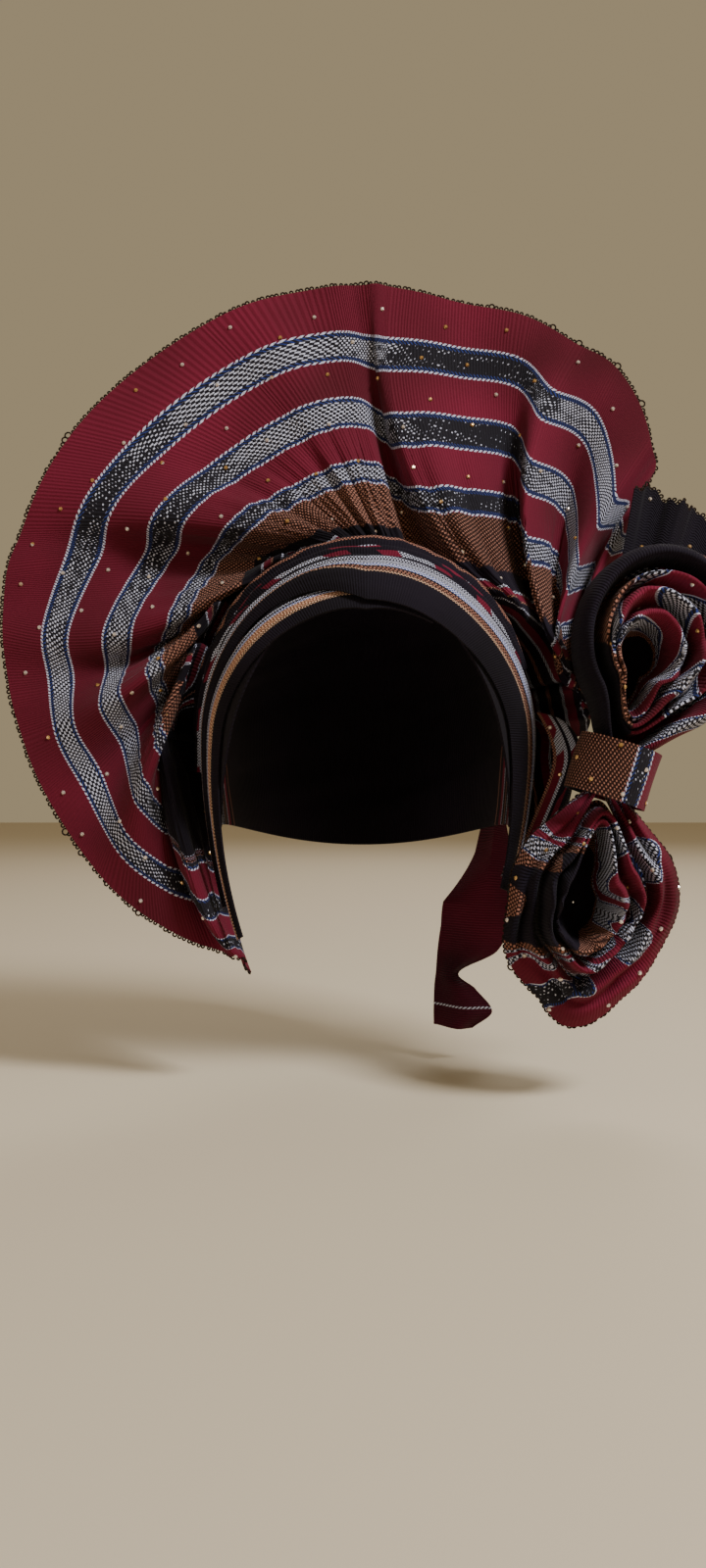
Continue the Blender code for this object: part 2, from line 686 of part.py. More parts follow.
def main():
    clear_scene()
    red = cloth_material("red_cloth", (0.26, 0.02, 0.05))
    tan = cloth_material("tan_cloth", (0.26, 0.13, 0.07))
    navy = cloth_material("navy_cloth", (0.014, 0.011, 0.020))
    stripe = cloth_material("stripe_cloth", (0.40, 0.42, 0.50))
    make_head_wrap(navy)
    cloth_wall("fan", fan_grid(FAN_STEPS, FAN_ROWS), FAN_CLOTH, red)
    cloth_wall("left_pleat", pleat_grid(LEFT_BAND, LEFT_STEPS), CLOTH, stripe)
    cloth_wall("right_pleat", pleat_grid(RIGHT_BAND, RIGHT_STEPS), CLOTH, stripe)
    make_crown_wrap(navy)
    make_side_folds(navy)
    make_rosettes(navy, tan, red)
    make_knot_band(tan)
    make_bow_end(navy)
    make_neck_tail(red)


main()
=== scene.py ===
# %% [markdown]
# # A tied head tie of striped hand-woven cloth
# One long cloth is wrapped round the head in narrow pleats, opened behind them into a pleated fan
# and tied at the wearer's left into a bow. This lesson builds each piece as a surface worked out
# with numpy, gives it a map that says where on the real cloth each point lies, and lets one weave,
# drawn in the shader, follow that map.

import math
from collections import namedtuple

import bpy
import numpy as np
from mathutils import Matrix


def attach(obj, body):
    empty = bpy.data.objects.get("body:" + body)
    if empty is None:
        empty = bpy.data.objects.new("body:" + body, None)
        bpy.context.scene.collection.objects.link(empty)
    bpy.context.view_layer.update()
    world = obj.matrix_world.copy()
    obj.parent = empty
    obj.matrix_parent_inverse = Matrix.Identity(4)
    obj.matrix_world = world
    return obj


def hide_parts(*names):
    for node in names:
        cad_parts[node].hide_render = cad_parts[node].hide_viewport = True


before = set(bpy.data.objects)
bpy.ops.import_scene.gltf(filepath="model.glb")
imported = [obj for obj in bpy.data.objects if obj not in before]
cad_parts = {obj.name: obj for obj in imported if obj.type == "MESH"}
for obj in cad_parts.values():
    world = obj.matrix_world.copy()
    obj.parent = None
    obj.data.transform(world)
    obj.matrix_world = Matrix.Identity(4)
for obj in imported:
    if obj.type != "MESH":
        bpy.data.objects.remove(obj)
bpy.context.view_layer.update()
print("nodes:", sorted(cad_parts))

# %% [markdown]
# ## The camera
# The picture was taken level with the middle of the face opening, by the wide lens of a phone. That
# lens is assumed. With it, an assumed width of the head gives the distance, a little over half a
# metre, and the row in the middle of the picture gives the height.

# %% Camera
IMAGE_HEIGHT = 1600
FOCAL_PIXELS = 1202
camera = bpy.data.objects.new("camera", bpy.data.cameras.new("camera"))
camera.data.sensor_fit = "VERTICAL"
camera.data.sensor_height = 36
camera.data.lens = 36 * FOCAL_PIXELS / IMAGE_HEIGHT
camera.location = (-0.006, -0.610, -0.075)
camera.rotation_euler = (math.pi / 2, 0, 0)
bpy.context.scene.collection.objects.link(camera)
bpy.context.scene.camera = camera
print("lens", round(camera.data.lens, 2), "mm")

# %% [markdown]
# ## Sizes
# These are the sizes of the solid model, under the same names, so that each surface lies where its
# solid does. Only the cloth is a little thinner here; BOW_CLOTH is the solid's own, from which the
# bow's places are worked out. A turn is counted in degrees clockwise from the top, as seen from
# the front, and a spread is the angle away from the axis that the face looks along.

# %% Sizes of the head, the cloth and the wrap
HEAD_WIDTH = 0.150
HEAD_LENGTH = 0.206
CROWN_RISE = 0.090
JAW_DROP = 0.182
BROW_RISE = 0.050

CLOTH = 0.0011
GAP = 0.0004
FAN_CLOTH = 0.0013

PLEAT_SPREAD = 14.0
PLEAT_LIFT = 0.0085
PLEAT_SPACE = 0.20
UNDER_LIFT = 0.0013
CROWN_SPREAD = 16.5
CROWN_LIFT = 0.0105
CROWN_TURNS = (-104.0, 67.0)
HEM_FRONT = 35.0
HEM_BACK = -32.0
HEM_TURNS = (16.0, 76.0)

# %% Sizes of the fan and the bow
FAN_REACH = 0.200
FOLD_DEPTH = 0.020
FAN_CENTRE_DROP = 0.024
FAN_SEAT_SPREAD = 101.0
SEAT_MARGIN = 7.0
MIDDLE = 0.47

BOW_SIDE = 0.116
BOW_FRONT = 0.056
KNOT_DROP = 0.069
KNOT_LENGTH = 0.038
KNOT_WIDTH = 0.027
KNOT_DEPTH = 0.036
KNOT_TILT = 18.0
BOW_CLOTH = 0.0012
UPPER_WIDTH = 0.078
UPPER_HEIGHT = 0.090
UPPER_RISE = 0.061
UPPER_SHIFT = 0.022
LOWER_SIZE = 0.046
LOWER_DROP = 0.065
LOWER_SHIFT = -0.010
ROSETTE_DEPTH = 0.030
WAIST_REACH = 40.0
WAIST_INSET = 0.10
WAIST_SPACING = 0.80
WAIST_FOLD = 1.7

# %% [markdown]
# ## Curves through tables
# A fold of cloth has no formula, but a few rows of numbers and a smooth curve through them give it
# one. The same two helpers read every table of this lesson.


# %% Smooth curves
def smooth_between(values, places, closed=False):
    """A smooth curve through evenly numbered rows, read at places along them.

    Between two rows it is the cubic whose slope at each row is half the step between the rows on
    either side of it.
    """
    values = np.asarray(values, float)
    count = len(values)
    start = np.floor(places).astype(int)
    if not closed:
        start = np.clip(start, 0, count - 2)
    along = (places - start).reshape(-1, *[1] * (values.ndim - 1))

    def row(number):
        if closed:
            return values[number % count]
        inside = values[np.clip(number, 0, count - 1)]
        before = 2 * values[0] - values[1]
        after = 2 * values[-1] - values[-2]
        low = (number < 0).reshape(along.shape)
        high = (number >= count).reshape(along.shape)
        return np.where(low, before, np.where(high, after, inside))

    a, b, c, d = (row(start + step) for step in (-1, 0, 1, 2))
    return 0.5 * (
        2 * b
        + (c - a) * along
        + (2 * a - 5 * b + 4 * c - d) * along**2
        + (3 * b - a - 3 * c + d) * along**3
    )


def smooth_table(rows, where):
    """Reads a table whose first column is a position: a smooth curve through the others."""
    rows = np.asarray(rows, float)
    place = np.interp(where, rows[:, 0], np.arange(len(rows)))
    return smooth_between(rows[:, 1:], np.ravel(place)).reshape(*np.shape(where), -1)


def bell(distance):
    """1 in the middle, 0 at a distance of 1 and beyond: the square of a quarter cosine wave."""
    return np.cos(np.pi / 2 * np.clip(np.abs(distance), 0, 1)) ** 2


def ease(share):
    """0 below 0, 1 above 1, and between them a curve that starts and ends level."""
    share = np.clip(share, 0, 1)
    return share * share * (3 - 2 * share)


def waves(where, seed, count=5, longest=1.0):
    """Soft uneven waves of about -1 to 1: a sum of sines with lengths and starts drawn by lot."""
    lot = np.random.default_rng(seed)
    total = 0 * where
    for number in range(count):
        length = longest / (1 + 0.9 * number) * lot.uniform(0.8, 1.2)
        total = total + np.sin(2 * np.pi * (where / length + lot.random())) / (1 + number)
    return total / 1.8


# %% [markdown]
# ## The head under the cloth
# The wrap lies on a shape like an egg: one half-ellipsoid above its middle and a longer one below.
# A turn and a spread find a point on it, and a lift raises the cloth off it.


# %% Points on the head
def on_head(turn, spread, lift):
    """The point of the head at a turn and a spread, raised along its normal by lift."""
    turn, spread = np.radians(turn), np.radians(spread)
    half_width, half_length = HEAD_WIDTH / 2, HEAD_LENGTH / 2
    half_height = np.where(np.cos(turn) > 0, CROWN_RISE, JAW_DROP)
    outline = 1 / np.hypot(np.sin(turn) / half_width, np.cos(turn) / half_height)
    x = outline * np.sin(turn) * np.sin(spread)
    y = -half_length * np.cos(spread)
    z = outline * np.cos(turn) * np.sin(spread)
    normal = np.stack([x / half_width**2, y / half_length**2, z / half_height**2], -1)
    normal /= np.linalg.norm(normal, axis=-1, keepdims=True)
    return np.stack([x, y, z - BROW_RISE], -1) + normal * np.asarray(lift)[..., None]


def clear_of_head(points, lift):
    """Moves points outwards from the head's middle where they come closer to it than lift."""
    middle = np.array([0, 0, -BROW_RISE])
    apart = points - middle
    half_height = np.where(apart[..., 2] > 0, CROWN_RISE, JAW_DROP)
    halves = np.stack(
        [0 * half_height + HEAD_WIDTH / 2, 0 * half_height + HEAD_LENGTH / 2, half_height], -1
    )
    inside = np.linalg.norm(apart / (halves + lift), axis=-1, keepdims=True)
    return middle + apart / np.minimum(inside, 1)


def seat_lift():
    return UNDER_LIFT + CLOTH / 2 + GAP + FAN_CLOTH / 2


# %% [markdown]
# ## A wall of cloth with its map
# Cloth is thin but not without thickness, so each surface becomes a closed wall: the grid is
# copied to both sides along its normals and its borders are joined. The UV map holds metres of
# cloth: along the stripes, and across them from the rim. A second attribute, pale, says how much
# of the stripe's white yarn shows. On the fan it follows the weaver's yarn, which changes from
# silver to black on the way. On the knot it is set low as painted shade, which darkens its tan and
# stripes, and on the lower half of the bow it falls towards the foot.


# %% Walls
def grid_normals(grid, closed):
    """The direction across the surface: its slope along the rows crossed with that of columns."""
    if closed:
        along = np.roll(grid, -1, 0) - np.roll(grid, 1, 0)
    else:
        along = np.gradient(grid, axis=0)
    normal = np.cross(along, np.gradient(grid, axis=1))
    return normal / np.maximum(np.linalg.norm(normal, axis=-1, keepdims=True), 1e-12)


def quads(a, b, c, d):
    return np.stack([a, b, c, d], -1).reshape(-1, 4)


def add_mesh(name, points, faces, material):
    mesh = bpy.data.meshes.new(name)
    mesh.from_pydata(points.reshape(-1, 3).tolist(), [], faces.tolist())
    mesh.materials.append(material)
    mesh.shade_smooth()
    piece = bpy.data.objects.new(name, mesh)
    bpy.context.scene.collection.objects.link(piece)
    return piece


def lengths_along(grid, axis):
    """The distance travelled along one direction of a grid, starting at 0."""
    steps = np.linalg.norm(np.diff(grid, axis=axis), axis=-1)
    start = np.zeros_like(np.take(steps, [0], axis))
    return np.concatenate([start, np.cumsum(steps, axis)], axis)


def thread_map(grid, closed):
    """Metres along and across the threads, measured on the surface in the middle of its sides."""
    if closed:
        grid = np.concatenate([grid, grid[:1]])
    middle = grid.shape[1] // 2
    along = lengths_along(grid, 0)[:, middle : middle + 1]
    return np.stack(np.broadcast_arrays(along, lengths_along(grid, 1)), -1)


def cloth_wall(name, grid, cloth_map, pale, material, closed=False, thickness=CLOTH):
    """A closed wall on a grid, with its maps of cloth and the pale share at each point (on the
    knot, painted shade).

    Where the grid is closed the map has one row more than the grid, so that it doesn't run back.
    """
    rows, columns = cloth_map.shape[:2]
    offset = grid_normals(grid, closed) * thickness / 2
    top, under = np.arange(2 * rows * columns).reshape(2, rows, columns)
    parts = [
        quads(top[:-1, :-1], top[1:, :-1], top[1:, 1:], top[:-1, 1:]),
        quads(under[:-1, :-1], under[:-1, 1:], under[1:, 1:], under[1:, :-1]),
        quads(top[:-1, 0], under[:-1, 0], under[1:, 0], top[1:, 0]),
        quads(top[:-1, -1], top[1:, -1], under[1:, -1], under[:-1, -1]),
    ]
    if not closed:
        parts.append(quads(top[0, :-1], top[0, 1:], under[0, 1:], under[0, :-1]))
        parts.append(quads(top[-1, :-1], under[-1, :-1], under[-1, 1:], top[-1, 1:]))
    corners = np.concatenate(parts)
    side, row, column = np.unravel_index(corners, (2, rows, columns))
    faces = (side * len(grid) + row % len(grid)) * columns + column
    piece = add_mesh(name, np.concatenate([grid + offset, grid - offset]), faces, material)
    mesh = piece.data
    for layer_name, places in (("cloth", cloth_map), ("threads", thread_map(grid, closed))):
        layer = mesh.uv_layers.new(name=layer_name)
        layer.uv.foreach_set("vector", places[row, column].astype(np.float32).ravel())
    shares = np.broadcast_to(pale, grid.shape[:2])
    mesh.attributes.new("pale", "FLOAT", "POINT").data.foreach_set(
        "value", np.concatenate([shares, shares]).astype(np.float32).ravel()
    )
    mesh.set_sharp_from_angle(angle=math.radians(60))
    return piece


def settle(piece, node, flat):
    """Puts a finished piece of cloth under the root, hides its solid and prints the size it was cut
    to.
    """
    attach(piece, "root")
    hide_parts(node)
    print(piece.name, len(piece.data.polygons), "faces, flat", [round(x, 3) for x in flat])


def mean_lengths(grid):
    """The sheet's size laid flat: its mean length along the rows, and across them."""
    return tuple(float(lengths_along(grid, axis).take(-1, axis).mean()) for axis in (0, 1))


# %% [markdown]
# ## Shader arithmetic
# A weave is arithmetic on the map: which thread, which pass, raised or sunk. One small class wraps
# a socket, so that such sums can be written as plain Python.


# %% A socket that can be added and multiplied
class Wire:
    """An output socket on which + - * / add Math nodes."""

    def __init__(self, socket):
        self.socket = socket

    def node(self, kind, settings=None, inputs=None, output=0):
        """Adds a node: its settings first, then values or wires for its sockets."""
        node = self.socket.id_data.nodes.new(kind)
        for name, value in (settings or {}).items():
            setattr(node, name, value)
        for key, value in (inputs or {}).items():
            if isinstance(value, Wire):
                self.socket.id_data.links.new(value.socket, node.inputs[key])
            else:
                node.inputs[key].default_value = value
        return Wire(node.outputs[output])

    def math(self, operation, *values):
        numbers = dict(enumerate(values))
        return self.node("ShaderNodeMath", {"operation": operation}, numbers)

    def __add__(self, other):
        return self.math("ADD", self, other)

    def __radd__(self, other):
        return self.math("ADD", other, self)

    def __sub__(self, other):
        return self.math("SUBTRACT", self, other)

    def __rsub__(self, other):
        return self.math("SUBTRACT", other, self)

    def __mul__(self, other):
        return self.math("MULTIPLY", self, other)

    def __rmul__(self, other):
        return self.math("MULTIPLY", other, self)

    def __truediv__(self, other):
        return self.math("DIVIDE", self, other)

    def floor(self):
        return self.math("FLOOR", self)

    def least(self, other):
        return self.math("MINIMUM", self, other)

    def zigzag(self, length):
        """0 at each whole length, 1 half way between, in straight lines."""
        return self.math("PINGPONG", self / length, 0.5) * 2

    def rises(self, start, width):
        """0 below start, 1 above start + width."""
        limits = {"Value": self, "From Min": start, "From Max": start + width}
        return self.node("ShaderNodeMapRange", None, limits)

    def tint(self, low, high):
        """A colour: low where this is 0, high where it is 1."""
        values = {0: self, 6: low, 7: high}
        return self.node("ShaderNodeMix", {"data_type": "RGBA"}, values, output=2)


def rgb(code):
    """A colour written as six hexadecimal digits, as the shader wants it: linear, with alpha."""
    shares = np.array([int(code[at : at + 2], 16) for at in (0, 2, 4)]) / 255
    linear = np.where(shares > 0.04045, ((shares + 0.055) / 1.055) ** 2.4, shares / 12.92)
    return (*linear.tolist(), 1.0)


# %% [markdown]
# ## The weave
# The cloth is woven by hand on a narrow loom. Most of it is plain ribbed weave. In the pale
# stripes white yarn passes over dark in a broken twill, between two edges of blue with a white
# line of slanting stitches along each; in the tan band light yarn passes over brown.

# %% Colours of the yarns
RED = rgb("751a34")
RED_DEEP = rgb("480e1a")
NAVY = rgb("0e0912")
NAVY_LIT = rgb("18111f")
SLATE = rgb("1a181f")
SILVER = rgb("c0c2d6")
BLUE = rgb("27397f")
BROWN = rgb("26120e")
TAN = rgb("9c6b5a")
PEACH = rgb("c7a186")
PEACH_DEEP = rgb("8a5c48")

# %% Sizes of the threads, in millimetres, and how dull they are
RIB = 1.4
ROPE = 1.9
ROPE_WIDTH = 1.1
ROPE_SLANT = 0.8
BLUE_EDGE = 2.7
CHECK = 1.6
CHECK_ROW = 0.75
Dash = namedtuple("Dash", "length height slant")
TAN_DASH = Dash(1.9, 1.3, 0.3)
SILVER_DASH = Dash(2.6, 1.25, 0.4)
RIB_HEIGHT = 0.5 / 1000
FIBRE_SCALE = 900
DULL_YARN = {
    "Roughness": 0.85,
    "Specular IOR Level": 0.15,
    "Sheen Weight": 0.03,
    "Sheen Roughness": 0.45,
}


# %% One weave for every piece
class Weave:
    """The patterns of the cloth, worked out from a piece's map in millimetres."""

    def __init__(self, name):
        self.material = bpy.data.materials.new(name)
        self.material.use_nodes = True
        tree = self.material.node_tree
        self.shader = tree.nodes["Principled BSDF"]
        here, _, self.across = self.millimetres("cloth")
        _, self.thread, self.row = self.millimetres("threads")
        self.object = here.node("ShaderNodeTexCoord", output=3)
        self.pale = here.node("ShaderNodeAttribute", {"attribute_name": "pale"}, output=2)
        self.rib = self.thread.zigzag(RIB)

    def millimetres(self, name):
        """A map's own wire and its two numbers, in millimetres."""
        place = self.material.node_tree.nodes.new("ShaderNodeUVMap")
        place.uv_map = name
        here = Wire(place.outputs[0])
        split = here.node("ShaderNodeSeparateXYZ", None, {0: here})
        return here, split * 1000, Wire(split.socket.node.outputs[1]) * 1000

    def noise(self, scale, detail=2.0, vector=None):
        values = {"Vector": vector or self.object, "Scale": scale, "Detail": detail}
        return self.object.node("ShaderNodeTexNoise", None, values)

    def dashes(self, size):
        """Slanting dashes, each row half a dash further along.

        Gives three wires: 1 in a dash's middle and 0 between dashes, the same across the rows, and
        a random number for each dash.
        """
        row = (self.row / size.height).floor()
        shifted = self.thread + row * (size.length / 2) + self.row * size.slant
        cell = {0: (shifted / size.length).floor() * (size.length / 9), 1: row * 2.3}
        place = self.row.node("ShaderNodeCombineXYZ", None, cell)
        lot = self.noise(1.0, 2.0, place)
        return shifted.zigzag(size.length), self.row.zigzag(size.height), lot

    def red(self):
        cloth = self.noise(11).rises(0.3, 0.4).tint(RED_DEEP, RED)
        return (0.72 + 0.28 * self.rib).tint(RED_DEEP, cloth)

    def navy(self):
        return self.noise(14).rises(0.4, 0.3).tint(NAVY, NAVY_LIT)

    def twill(self, light, dark):
        """Short raised stitches in slanting rows, with the dark ground between."""
        dash, passes, _ = self.dashes(TAN_DASH)
        # A lower pale share gives thinner stitches and a darker band; on the knot this is painted
        # shade.
        raised = dash.rises(0.62 - self.pale * 0.34, 0.2) * passes.rises(0.24, 0.25)
        return raised.tint(dark, light)

    def tan(self):
        return self.twill(TAN, BROWN)

    def peach(self):
        return self.twill(PEACH, PEACH_DEEP)

    def silver(self):
        """White passes over dark: how many of them show follows the pale share."""
        dash, passes, lot = self.dashes(SILVER_DASH)
        shown = self.pale * 1.25 + (lot - 0.5) * 2.0 - 0.12
        over = dash.rises(1.0 - shown.least(0.60), 0.14) * passes.rises(0.22, 0.25)
        return over.tint(SLATE, SILVER)

    def rope(self, from_edge, ground):
        """A slanting-stitched white line along an edge, over the ground."""
        stitch = (self.thread + self.row * ROPE_SLANT).zigzag(ROPE).rises(0.34, 0.14)
        inside = from_edge.rises(0.0, 0.12) * (1.0 - from_edge.rises(ROPE_WIDTH, 0.12))
        return (stitch * inside).tint(ground, SILVER)

    def stripe(self, low, high, ground):
        """One pale stripe between two distances from the rim, laid over the ground."""
        from_edge = (self.across - low).least(high - self.across)
        ticks = (self.thread - self.row * ROPE_SLANT).zigzag(ROPE).rises(0.5, 0.2)
        blue = (ticks * 0.75).tint(SLATE, BLUE)
        body = from_edge.rises(BLUE_EDGE, 0.3).tint(blue, self.silver())
        body = from_edge.rises(ROPE_WIDTH * 0.5, 0.2).tint(ground, body)
        return self.rope(from_edge, body)

    def checks(self, light, dark):
        """Small checks in rows, as where two yarns change places."""
        row = (self.row / CHECK_ROW).floor()
        shifted = self.thread + row * (CHECK / 2)
        return shifted.zigzag(CHECK).rises(0.42, 0.16).tint(dark, light)

    def ribbed(self):
        return (0.42 + self.rib * 0.38).tint(SILVER, SLATE)

    def bands(self, rows, ground, own=None):
        """Bands side by side: each starts at its distance, in millimetres, and hides the last.

        A band is named in PLAIN_BANDS, or in own for what only this cloth shows.
        """
        made = dict(own or {})
        for start, kind in rows:
            if kind not in made:
                made[kind] = PLAIN_BANDS[kind](self)
            ground = self.across.rises(start, 0.12).tint(ground, made[kind])
        return ground

    def finish(self, colour, raised):
        """Connects the colour, and a bump from the threads' height."""
        tree = self.material.node_tree
        tree.links.new(colour.socket, self.shader.inputs["Base Color"])
        for name, value in DULL_YARN.items():
            self.shader.inputs[name].default_value = value
        height = raised + self.noise(FIBRE_SCALE, 1.0) * 0.4
        values = {"Strength": 0.6, "Distance": RIB_HEIGHT, "Height": height}
        bump = height.node("ShaderNodeBump", None, values)
        tree.links.new(bump.socket, self.shader.inputs["Normal"])
        return self.material


PLAIN_BANDS = {
    "navy": Weave.navy,
    "red": Weave.red,
    "tan": Weave.tan,
    "peach": Weave.peach,
    "ribbed silver": Weave.ribbed,
    "white checks": lambda weave: weave.checks(SILVER, NAVY),
    "blue checks": lambda weave: weave.checks(SILVER, BLUE),
    "brown checks": lambda weave: weave.checks(TAN, NAVY),
    "cream checks": lambda weave: weave.checks(PEACH, NAVY),
}
print("named bands:", ", ".join(PLAIN_BANDS))

# %% [markdown]
# ### The fan's cloth
# Counted from the rim: red, stripe, red, stripe, red, stripe, tan, navy. All the distances are
# shares of the cloth between the rim and the ring where the fan comes out of the wrap. At the
# ring the cloth lies in thin folds, so that red and stitched lines follow each other there.

# %% The striped cloth
FAN_LENGTH = 150.0
STRIPES = ((0.137, 0.240), (0.360, 0.473), (0.593, 0.683))
TAN_FROM = 0.683
NAVY_FROM = 0.855
RING_BANDS = (
    (138.0, "white checks"),
    (139.2, "red"),
    (142.6, "brown checks"),
    (143.6, "navy"),
    (148.0, "white checks"),
    (149.2, "navy"),
    (153.0, "red"),
    (157.0, "white checks"),
    (158.2, "navy"),
    (162.0, "brown checks"),
    (163.4, "navy"),
    (167.0, "white checks"),
    (168.4, "red"),
    (172.0, "brown checks"),
    (173.4, "navy"),
    (177.0, "white checks"),
    (178.2, "navy"),
)


def striped_cloth(name, gathers=False):
    """The long cloth. With gathers it also shows the thin folds at the fan's ring."""
    weave = Weave(name)
    ground = weave.red()
    tan = weave.across.rises(TAN_FROM * FAN_LENGTH, 0.2)
    ground = tan.tint(ground, weave.tan())
    navy = weave.across.rises(NAVY_FROM * FAN_LENGTH, 0.6)
    ground = navy.tint(ground, weave.navy())
    for low, high in STRIPES:
        ground = weave.stripe(low * FAN_LENGTH, high * FAN_LENGTH, ground)
    if gathers:
        ground = weave.bands(RING_BANDS, ground)
    return weave.finish(ground, weave.rib)


striped = striped_cloth("striped_cloth")
fan_cloth = striped_cloth("fan_cloth", gathers=True)
print("shader nodes:", len(striped.node_tree.nodes))

# %% [markdown]
# ## The fan
# Each row of the table is a ridge or a valley, clockwise from the tip at the jaw to the bow. It
# says where the fold crosses the rim, the middle of the cloth and the ring: the turn, the reach as
# a share of FAN_REACH, and the depth as a share of FOLD_DEPTH. The last column is how pale the
# stripes are there.

# %% The fan's folds
Fold = namedtuple(
    "Fold",
    "rim_turn rim_reach rim_back mid_turn mid_reach mid_back ring_turn ring_reach ring_back pale",
)
FOLDS = (
    Fold(-158.5, 0.76, -1.0, -149, 0.65, -0.3, -127, 0.50, 0.4, 0.10),
    Fold(-157, 0.755, -1.3, -144, 0.65, -1.1, -106, 0.51, -0.6, 0.10),
    Fold(-155, 0.75, -1.7, -142, 0.67, -1.8, -106, 0.53, -1.2, 0.10),
    Fold(-152, 0.76, -1.1, -125, 0.60, -0.6, -102, 0.52, 0.1, 0.12),
    Fold(-144, 0.78, -1.2, -121, 0.60, -1.1, -97, 0.48, -0.2, 0.25),
    Fold(-129, 0.81, -1.5, -113, 0.59, -1.7, -78, 0.43, -1.1, 0.50),
    Fold(-115, 0.83, -1.0, -102, 0.59, -0.5, -77, 0.44, 0.3, 0.70),
    Fold(-101, 0.86, -1.3, -93, 0.60, -1.6, -61, 0.41, -1.3, 0.80),
    Fold(-91, 0.89, -0.9, -85, 0.60, -0.6, -61, 0.44, 0.2, 0.70),
    Fold(-81, 0.92, -1.0, -77, 0.59, -1.2, -34, 0.37, -1.5, 0.50),
    Fold(-72, 0.95, -0.5, -56, 0.59, -0.2, -33, 0.37, -0.6, 0.35),
    Fold(-63, 0.96, -0.6, -48, 0.60, -1.1, -9, 0.33, -1.5, 0.20),
    Fold(-48, 0.99, -0.2, -31, 0.61, -0.5, -2, 0.32, -1.3, 0.38),
    Fold(-32, 1.01, 0.0, -19, 0.63, -0.4, 5, 0.32, -1.2, 0.80),
    Fold(-18, 1.03, 0.1, -9, 0.65, -0.4, 11, 0.31, -1.2, 0.90),
    Fold(-6, 1.04, 0.1, -1, 0.66, -0.3, 18, 0.31, -1.2, 0.60),
    Fold(0, 1.04, 0.1, 6, 0.63, 0.2, 38, 0.31, -0.4, 0.50),
    Fold(4, 1.04, 0.1, 10, 0.61, -0.6, 63, 0.41, -1.5, 0.30),
    Fold(14, 1.03, 0.2, 24, 0.66, -0.2, 69, 0.44, -1.1, 0.06),
    Fold(24, 1.05, 0.3, 34, 0.71, 0.4, 75, 0.48, -0.4, 0.10),
    Fold(32, 1.05, 0.1, 40, 0.63, -0.8, 87, 0.49, -1.6, 0.35),
    Fold(39, 1.05, 0.2, 50, 0.68, 0.2, 88, 0.53, -0.7, 0.70),
    Fold(49, 0.98, -0.1, 66, 0.55, -1.2, 92, 0.52, -1.5, 1.00),
    Fold(53, 0.94, 0.1, 66, 0.62, -0.1, 95, 0.54, -1.0, 0.90),
    Fold(55, 0.88, -0.2, 72, 0.58, -1.1, 99, 0.55, -1.3, 0.80),
    Fold(59, 0.86, 0.3, 70, 0.66, -0.1, 103, 0.57, -0.8, 0.40),
)
FAN_STEPS = 16
FAN_ROWS = 58
RIM_SOFTNESS = 30
COARSE_ROWS = 10
FINE_CREASE = 0.0025
SLOW_CREASE = 0.0018
TURNED_FOLDS = 4.5
TURNED_FROM = 0.62
TURNED_BY = 0.09


# %% The fan's surface
def fan_point(turn, reach, back):
    """A point of the fan, polar about its middle as seen from the front."""
    turn = np.radians(turn)
    x = FAN_REACH * reach * np.sin(turn)
    z = FAN_REACH * reach * np.cos(turn) - FAN_CENTRE_DROP
    return np.stack([x, FOLD_DEPTH * back, z], -1)


def fan_seat(ring):
    """Where the cloth behind the fan's ring comes down on the wrap round the head."""
    turn = np.degrees(np.arctan2(ring[:, 0], ring[:, 2] + BROW_RISE))
    return on_head(turn, np.full_like(turn, FAN_SEAT_SPREAD), np.full_like(turn, seat_lift()))


def fan_grid(places, rows):
    """The fan's points, from its rim to its seat on the head.

    Across the folds a smooth curve runs through the table. Along a fold a parabola runs through
    its rim, its middle and its ring, and then the cloth bends back to its seat.
    """
    folds = smooth_between(np.array(FOLDS)[:, :9], places)
    rim, middle, ring = (fan_point(*folds[:, at : at + 3].T) for at in (0, 3, 6))
    along = np.linspace(0, 1, COARSE_ROWS)[None, :, None]
    visible = (
        (along - MIDDLE) * (along - 1) / MIDDLE * rim[:, None]
        + along * (1 - along) / (MIDDLE * (1 - MIDDLE)) * middle[:, None]
        + along * (along - MIDDLE) / (1 - MIDDLE) * ring[:, None]
    )
    seat = fan_seat(ring)
    tuck = clear_of_head((ring + seat) / 2, 2 * seat_lift())
    coarse = np.concatenate([visible, np.stack([tuck, seat], 1)], 1)
    finer = smooth_between(coarse.swapaxes(0, 1), np.linspace(0, COARSE_ROWS + 1, rows))
    return clear_of_head(finer.swapaxes(0, 1), seat_lift())


def soften(values, reach):
    """Each row becomes the mean of its neighbours, weighted by a bell reach rows wide each way."""
    weights = bell(np.arange(-reach, reach + 1) / (reach + 1))
    padded = np.pad(values, ((reach, reach), (0, 0)), mode="edge")
    total = sum(
        weight * padded[start : start + len(values)] for start, weight in enumerate(weights)
    )
    return total / weights.sum()


def smooth_rim(grid, share):
    """Near the rim the cloth hangs flatter: its depth is blended with its softened depth."""
    depth = grid[..., 1]
    flat = soften(depth, RIM_SOFTNESS)
    kept = ease((share + 0.02) / 0.5)[None, :]
    result = grid.copy()
    result[..., 1] = flat + (depth - flat) * kept
    return result


def fan_creases(grid, places, share):
    """Small folds inside the large ones: deeper towards the ring, soft and slow at the rim."""
    fold = places[:, None] + 0 * share[None, :]
    depth = ease((share - 0.25) / 0.6)[None, :] * ease((1.02 - share) / 0.12)[None, :]
    fine = waves(fold + 0.35 * share[None, :], seed=3, count=6, longest=0.9)
    soft = waves(fold, seed=8, count=3, longest=2.6) * (1 - 0.6 * share[None, :])
    height = FINE_CREASE * fine * depth + SLOW_CREASE * soft
    return grid_normals(grid, False) * height[..., None]


